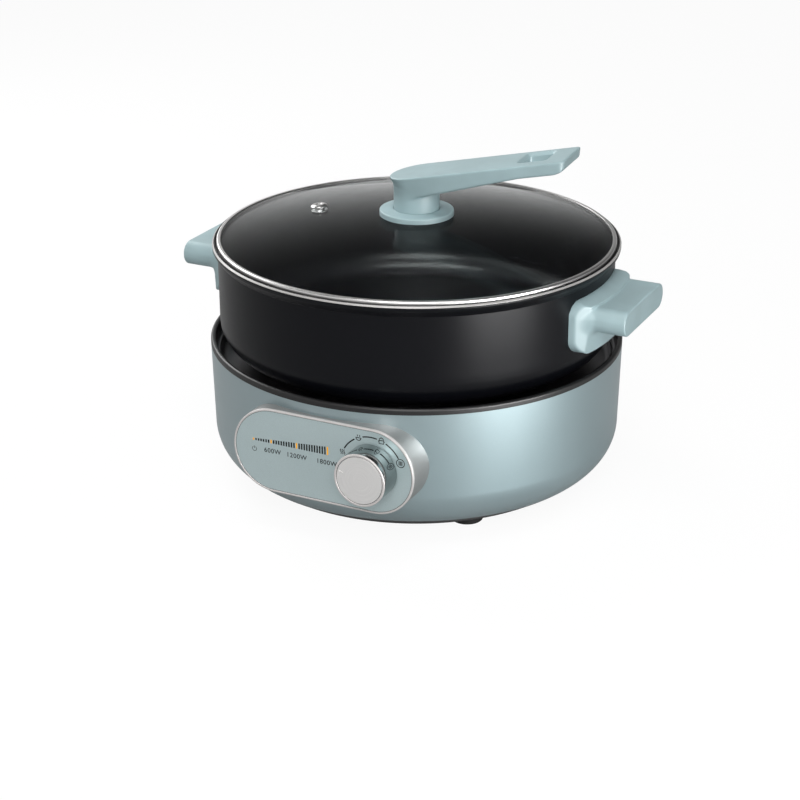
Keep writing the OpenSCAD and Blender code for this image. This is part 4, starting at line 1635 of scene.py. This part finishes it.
@dataclass
class PotHandles:
    """Two grips, each growing out of a ridged pad on the pot's wall."""

    shop: Workshop
    wall_r: float = 151.0
    pad_half: Point = (47.3, 20.15)
    pad_z: float = 149.15
    pad_corner: float = 12.0
    pad_t: float = 12.0
    pad_fall: float = 2.7
    pad_fall_h: float = 36.0
    pad_shade: float = 0.277
    pad_soft: Point = (0.9, 0.8)
    ridge_x: float = 149.8
    ridge_y: float = 46.3
    ridge_way: Point = (0.643, 0.765)
    grip_half: Point = (41.2, 9.5)
    grip_z: float = 155.0
    grip_corner: float = 9.2
    grip_soft: float = 1.3
    fillet: Point = (1.3, 5.5)
    fillet_top: float = 9.0
    fillet_h: float = 7.0
    screw_x: float = 166.0
    screw_z: float = 148.2
    screw_r: float = 4.2
    screw_soft: float = 0.6
    back_gap: float = 0.1
    back_soft: float = 0.3
    margin: float = 2.0
    cell: float = 0.6
    sharp: float = 60.0

    def _pad(self, x: np.ndarray, y: np.ndarray, z: np.ndarray) -> np.ndarray:
        """Returns the distance to the pad, whose front falls away on both sides of the grip."""
        out = np.hypot(x, y) - self.wall_r
        plan = slab(y, z - self.pad_z, *self.pad_half, self.pad_corner)
        low_z = self.pad_z - self.pad_half[1]
        front = out - self.pad_t + self.pad_fall * (1 - np.clip((z - low_z) / self.pad_fall_h, 0, 1))
        rise = z - self.pad_z - self.pad_half[1] + self.pad_shade * out
        top = rise / math.hypot(1, self.pad_shade)
        along, aside = self.ridge_way
        side = along * (x - self.ridge_x) + aside * (np.abs(y) - self.ridge_y)
        soft, top_soft = self.pad_soft
        pad = trimmed(trimmed(plan, front, soft), side, soft)
        return trimmed(pad, top, top_soft)

    def _field(self, reach: float) -> Field:
        """Returns the distance field of the grip towards +X.

        Args:
            reach: Distance of its end face from the centre.

        Returns:
            The field.
        """
        least, most = self.fillet

        def field_of(x: np.ndarray, y: np.ndarray, z: np.ndarray) -> np.ndarray:
            """Returns the distance to the handle."""
            out = np.hypot(x, y)
            grip = slab(y, z - self.grip_z, *self.grip_half, self.grip_corner)
            grip = trimmed(grip, x - reach, self.grip_soft)
            under = np.clip((self.grip_z + self.fillet_top - z) / self.fillet_h, 0, 1)
            both = blended(self._pad(x, y, z), grip, least + (most - least) * under)
            hole = np.maximum(np.hypot(x - self.screw_x, y) - self.screw_r, z - self.screw_z)
            both = trimmed(both, -hole, self.screw_soft)
            return trimmed(both, self.wall_r - self.back_gap - out, self.back_soft)

        return field_of

    def build(self) -> None:
        """Builds both handles from one form."""
        margin = Vector((self.margin,) * 3)
        low, high = self.shop.corners("handle_right")
        right = skinned(self._field(high.x), tuple(low - margin), tuple(high + margin), self.cell)
        left = right.placed(Matrix.Rotation(math.pi, 4, "Z"))
        for side, form in (("right", right), ("left", left)):
            name, node = f"pot_handle_{side}", f"handle_{side}"
            self.shop.piece(name, form, "pot", ["aqua_plastic"], [node], sharp=self.sharp)


# ----------------------------------------------------------------------------------------------
# Lid
# ----------------------------------------------------------------------------------------------


@dataclass
class Lid:
    """Domed glass with a steel edge, steam vent and disc."""

    shop: Workshop
    turn: float = 4.3
    lip: float = 3.1
    ring_t: float = 0.6
    glass_t: float = 4.0
    dome_rise: float = 16.4
    dome_steps: int = 24
    vent_pitch: float = 81.0
    vent_r: float = 4.0
    vent_bore: float = 1.9
    vent_flange: float = 6.4
    vent_cut: float = 12.0
    stem_r: float = 17.4
    collar_w: float = 2.6
    recess_w: float = 0.35
    recess_depth: float = 1.5
    disc_t: float = 4.0
    disc_edge: float = 0.9
    disc_gap: float = 0.02
    screw_r: float = 2.4
    segments: int = 320
    disc_segments: int = 192

    def __post_init__(self) -> None:
        """Works out the ball that the dome is part of."""
        low, high = self.shop.corners("lid_ring")
        self.edge_r = high.x
        self.bottom_z = low.z
        self.top_z = high.z
        self.lip_r = self.edge_r - self.lip
        self.dome_top = self.top_z - self.ring_t + self.dome_rise
        self.ball_r = (self.lip_r**2 + self.dome_rise**2) / (2 * self.dome_rise)
        self.ball_z = self.dome_top - self.ball_r

    def _dome_z(self, radius: float) -> float:
        """Returns the height of the glass at a radius."""
        return self.ball_z + math.sqrt(self.ball_r**2 - radius**2)

    def _dome(self, drop: float) -> list[Point]:
        """Returns the dome's section from the lip to the screw hole, lowered by drop."""
        radii = np.linspace(self.lip_r, self.screw_r, self.dome_steps)
        return [(radius, self._dome_z(radius) - drop) for radius in radii]

    def _vent_place(self) -> Matrix:
        """Returns the place of the steam vent, upright to the glass."""
        around = Matrix.Rotation(math.radians(180 + self.turn), 4, "Z")
        up = Matrix.Translation((0, 0, self.ball_z))
        tilt = Matrix.Rotation(math.asin(self.vent_pitch / self.ball_r), 4, "Y")
        return around @ up @ tilt @ Matrix.Translation((0, 0, self.ball_r))

    def glass(self) -> None:
        """Builds the toughened glass with its vent hole."""
        edge = self.edge_r - self.ring_t
        foot = self.bottom_z + self.ring_t
        section = [
            (edge, foot), (edge, foot + self.glass_t),
            *self._dome(0), *self._dome(self.glass_t)[::-1],
        ]
        form = revolved(section, self.segments)
        rod = block((0, -self.vent_cut), (self.vent_r, self.vent_cut))
        hole = revolved(rod, 48, closed=False).placed(self._vent_place())
        self.shop.piece("lid_glass", form, "lid", ["lid_glass"], ["lid_glass"], sharp=30, cuts=[hole])

    def ring(self) -> None:
        """Builds the rolled steel edge."""
        lip, edge, inner = self.lip_r, self.edge_r, self.edge_r - self.ring_t
        seat, foot = self.top_z - self.ring_t, self.bottom_z + self.ring_t
        section = rounded([
            (lip, self.bottom_z, 0.2), (edge, self.bottom_z, 0.5), (edge, self.top_z, 1.3),
            (lip, self.top_z, 0.28), (lip, seat, 0), (inner, seat, 0.2), (inner, foot, 0.2),
            (lip, foot, 0),
        ])
        self.shop.turned("lid_ring", section, "lid", "lid_steel", 3.0, self.segments)

    def vent(self) -> None:
        """Builds the steam vent's eyelet, with its heights counted from the top of the glass."""
        flange, bore, under, seat = self.vent_flange, self.vent_bore, -self.glass_t, 0.05
        section = rounded([
            (bore, under - 1.4, 0.2), (flange, under - 1.2, 0.3), (flange, under, 0.2),
            (self.vent_r, under, 0), (self.vent_r, seat, 0), (flange, seat, 0.2), (flange, 1.4, 0.5),
            (self.vent_r + 0.6, 2.55, 0.9), (bore, 2.4, 0.8),
        ])
        form = revolved(section, 64).placed(self._vent_place())
        self.shop.piece("vent_eyelet", form, "lid", ["lid_steel"], ["vent_eyelet"])

    def disc(self) -> None:
        """Builds the disc that the handle's stem stands in."""
        high = self.shop.corners("lid_disc")[1]
        radius, top = high.x, high.z
        collar, recess = self.stem_r + self.collar_w, self.stem_r + self.recess_w
        seat = top - self.recess_depth
        last = 0.5
        base = [(r, z + self.disc_gap) for r, z in self._dome(0) if r < radius - last][::-1]
        base.append((radius, self._dome_z(radius) + self.disc_gap))
        rim = rounded([
            (radius, top - self.disc_t, 0), (radius, top - self.disc_edge, 1.1), (collar, top, 0.8),
            (recess, top, 0.3), (recess, seat, 0), (self.screw_r, seat, 0),
        ], closed=False)
        self.shop.turned("lid_disc", base + rim, "lid", "aqua_plastic", 3.0, self.disc_segments)

    def build(self) -> None:
        """Builds the lid without its handle."""
        self.glass()
        self.ring()
        self.vent()
        self.disc()


@dataclass
class LidHandle:
    """Tapered arm on a stem, with a bevelled hanging hole."""

    shop: Workshop
    turn: float = 4.3
    half_w: float = 22.5
    root_r: float = 20.3
    root_slack: float = 0.93
    corner: float = 4.0
    top_z: float = 236.8
    top_slope: float = 0.214
    top_soft: float = 1.3
    crown: float = 0.5
    under_z: float = 218.8
    under_slope: float = 0.303
    under_soft: float = 2.0
    length: float = 121.6
    tip_t: float = 7.5
    tip_way: Point = (0.572, 0.82)
    tip_soft: float = 1.5
    least_t: float = 10.3
    draft: Point = (0.1, 0.42)
    draft_start: float = -20.0
    draft_length: float = 55.0
    draft_power: float = 1.5
    stem_r: float = 17.4
    stem_low: float = 206.2
    stem_lap: float = 6.0
    stem_fillet: float = 2.5
    hole: Point = (93.8, 2.5)
    hole_half: Point = (9.25, 12.5)
    hole_corner: float = 2.0
    hole_soft: float = 0.7
    bevel: float = 2.4
    bevel_slack: float = 1.25
    margin: float = 2.0
    cell: float = 0.7
    sharp: float = 60.0

    def _plan(self, s: np.ndarray, t: np.ndarray) -> np.ndarray:
        """Returns distances to the arm's outline: a rounded root, then straight to the squared tip."""
        x = s - (self.length - self.corner)
        y = np.abs(t) - (self.half_w - self.corner)
        tip = np.hypot(np.maximum(x, 0), np.maximum(y, 0)) + np.minimum(np.maximum(x, y), 0) - self.corner
        root = self.root_slack * (np.hypot(s * self.half_w / self.root_r, t) - self.half_w)
        return np.where(s < 0, root, tip)

    def _field(self, s: np.ndarray, t: np.ndarray, z: np.ndarray) -> np.ndarray:
        """Returns the distance to the handle, with the arm along s and its width along t."""
        top = self.top_z + self.top_slope * s
        depth = top - self.crown * (t / self.half_w) ** 2 - z
        above = -depth / math.hypot(1, self.top_slope)
        under = np.minimum(self.under_z + self.under_slope * s, top - self.least_t)
        below = (under - z) / math.hypot(1, self.under_slope)
        least, extra = self.draft
        fade = np.clip((s - self.draft_start) / self.draft_length, 0, 1)
        draft = least + extra * (1 - fade) ** self.draft_power
        side = (self._plan(s, t) + draft * np.maximum(depth, 0)) / np.hypot(1, draft)
        tip_z = self.top_z + self.top_slope * self.length - self.tip_t
        under_tip = (s - self.length) * self.tip_way[0] - (z - tip_z) * self.tip_way[1]
        arm = trimmed(trimmed(side, above, self.top_soft), below, self.under_soft)
        arm = trimmed(arm, under_tip, self.tip_soft)
        ends = np.maximum(self.stem_low - z, z - self.under_z - self.stem_lap)
        stem = np.maximum(np.hypot(s, t) - self.stem_r, ends)
        whole = blended(arm, stem, self.stem_fillet)
        opening = slab(s - self.hole[0], t - self.hole[1], *self.hole_half, self.hole_corner)
        opening = (opening - np.maximum(self.bevel - depth, 0)) / self.bevel_slack
        return trimmed(whole, -opening, self.hole_soft)

    def build(self) -> None:
        """Builds the handle."""
        side = self.half_w + self.margin
        tip_z = self.top_z + self.top_slope * self.length + self.margin
        low, high = (-side, -side, self.stem_low - self.margin), (self.length + self.margin, side, tip_z)
        form = skinned(self._field, low, high, self.cell)
        form = form.placed(Matrix.Rotation(math.radians(self.turn), 4, "Z"))
        self.shop.piece("lid_handle", form, "lid", ["aqua_plastic"], ["lid_handle"], sharp=self.sharp)


# ----------------------------------------------------------------------------------------------
# Studio
# ----------------------------------------------------------------------------------------------


@dataclass(frozen=True)
class Softbox:
    """A large lamp with soft light. Angles are in degrees, lengths in metres."""

    name: str
    around: float
    height: float
    distance: float
    size: tuple[float, float]
    power: float
    aim_z: float = 0.1
    gleam: bool = False

    def place(self) -> None:
        """Puts the lamp into the scene."""
        data = bpy.data.lights.new(self.name, "AREA")
        data.shape = "RECTANGLE"
        data.size, data.size_y = self.size
        data.energy = self.power
        lamp = added(self.name, data)
        a = math.radians(self.around)
        lamp.location = (self.distance * math.sin(a), -self.distance * math.cos(a), self.height)
        aim = Vector((0, 0, self.aim_z)) - lamp.location
        lamp.rotation_euler = aim.to_track_quat("-Z", "Y").to_euler()
        lamp.visible_camera = False
        lamp.visible_diffuse = not self.gleam


@dataclass
class Studio:
    """Camera, pale floor, soft light and a white horizon under a dim ceiling."""

    around: float = 25.85
    upwards: float = 21.34
    distance: float = 1.5
    aim_z: float = 0.104
    lens: float = 87.03
    shift: tuple[float, float] = (-0.0209, -0.08125)
    ambient: float = 0.38
    horizon: float = 0.85
    ceiling: float = 0.06
    lean: float = 0.4
    dim_at: float = 0.55
    floor_glow: float = 0.93
    mirror_glow: float = 0.1
    floor_tone: float = 0.33
    floor_half: float = 6.0
    paper_tone: float = 0.95
    grain_tone: float = 0.8
    grain_share: float = 0.04
    grain_size: float = 300.0
    softboxes: tuple[Softbox, ...] = (
        Softbox("side_strip", 68, 0.12, 0.64, (0.4, 0.2), 1.1),
        Softbox("side_gleam", 68, 0.12, 0.65, (0.4, 0.2), 4.0, gleam=True),
        Softbox("overhead", 10, 1.7, 0.5, (0.9, 0.4), 7.0),
        Softbox("front", 24, 1.1, 1.6, (1.0, 0.8), 17.0),
        Softbox("back_left", -112, 0.9, 1.2, (0.8, 0.6), 9.0),
    )

    def camera(self) -> None:
        """Puts up the camera."""
        data = bpy.data.cameras.new("camera")
        data.lens = self.lens
        data.sensor_width = 36.0
        data.shift_x, data.shift_y = self.shift
        camera = added("camera", data)
        a, e = math.radians(self.around), math.radians(self.upwards)
        back = Vector((math.sin(a) * math.cos(e), -math.cos(a) * math.cos(e), math.sin(e)))
        camera.location = Vector((0, 0, self.aim_z)) + back * self.distance
        camera.rotation_euler = (-back).to_track_quat("-Z", "Y").to_euler()
        bpy.context.scene.camera = camera

    @staticmethod
    def _rays(graph: Graph, *kinds: str) -> Value:
        """Returns 1 for rays of any of the given kinds, and otherwise 0."""
        found = [graph.node("ShaderNodeLightPath", output=f"Is {kind} Ray") for kind in kinds]
        total = found[0]
        for one in found[1:]:
            total = total + one
        return total > 0.5

    def surroundings(self) -> None:
        """Makes a white world that mirrors and glass see dimmer towards the top and one side."""
        world = bpy.data.worlds.new("surroundings")
        world.use_nodes = True
        graph = Graph.on(world.node_tree)
        way = graph.node("ShaderNodeTexCoord", output="Generated")
        x, y, up = (graph.node("ShaderNodeSeparateXYZ", None, {0: way}, letter) for letter in "XYZ")
        a = math.radians(self.around)
        aside = x * math.cos(a) + y * math.sin(a)
        level = (up + self.lean * aside).fade(0.0, self.dim_at)
        above = graph.mix(level, (self.horizon,) * 3, (self.ceiling,) * 3)
        colour = graph.mix(self._rays(graph, "Glossy", "Transmission"), (1.0, 1.0, 1.0), above)
        strength = self.ambient + (1 - self.ambient) * self._rays(graph, "Camera", "Glossy", "Transmission")
        light = graph.node("ShaderNodeBackground", None, {"Color": colour, "Strength": strength})
        graph.node("ShaderNodeOutputWorld", None, {"Surface": light})
        bpy.context.scene.world = world

    def floor(self) -> None:
        """Lays a plain pale floor that keeps the object's shadow."""
        half = self.floor_half
        data = bpy.data.meshes.new("floor")
        corners = [(x, y, 0) for x, y in block((-half, -half), (half, half))]
        data.from_pydata(corners, [], [(0, 1, 2, 3)])
        floor = added("floor", data)
        graph = Graph("floor_white")
        grain = self.grain_share * graph.noise(self.grain_size)
        seen = self._rays(graph, "Camera")
        tone = graph.mix(seen, (self.floor_tone,) * 3, (self.paper_tone,) * 3)
        colour = graph.mix(grain, tone, (self.grain_tone,) * 3)
        paper = graph.node("ShaderNodeBsdfDiffuse", None, {0: colour})
        glow = graph.node("ShaderNodeEmission", None, {"Color": (1.0, 1.0, 1.0), "Strength": 1.0})
        straight = self.floor_glow * self._rays(graph, "Camera", "Transmission")
        share = straight + self.mirror_glow * self._rays(graph, "Glossy")
        both = graph.node("ShaderNodeMixShader", None, {0: share, 1: paper, 2: glow})
        floor.data.materials.append(graph.show(both))
        floor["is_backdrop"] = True

    def build(self) -> None:
        """Sets everything up."""
        self.camera()
        self.surroundings()
        self.floor()
        for softbox in self.softboxes:
            softbox.place()
        view = bpy.context.scene.view_settings
        view.view_transform = "Standard"


def plain(bounds: object) -> object:
    """Turns vectors in a nested result into plain lists of numbers."""
    if isinstance(bounds, dict):
        return {key: plain(value) for key, value in bounds.items()}
    if isinstance(bounds, (int, float, str)) or bounds is None:
        return bounds
    return [plain(value) for value in bounds]


def main() -> None:
    """Builds the hot pot on its frame."""
    logging.basicConfig(level=logging.INFO, format="%(name)s: %(message)s")
    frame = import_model()
    before = plain(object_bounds())
    shop = Workshop(frame["record"], frame["nodes"])
    shop.dress_nodes()
    housing = Housing(shop)
    panel = Panel(shop, housing)
    housing.build([panel.opening()])
    panel.build()
    PanelPrint(shop, panel).build()
    HeatingDeck(shop).build()
    Feet(shop).build()
    Knob(shop).build()
    Pot(shop).build()
    PotHandles(shop).build()
    Lid(shop).build()
    LidHandle(shop).build()
    Studio().build()
    after = plain(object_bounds())


if __name__ == "__main__":
    main()
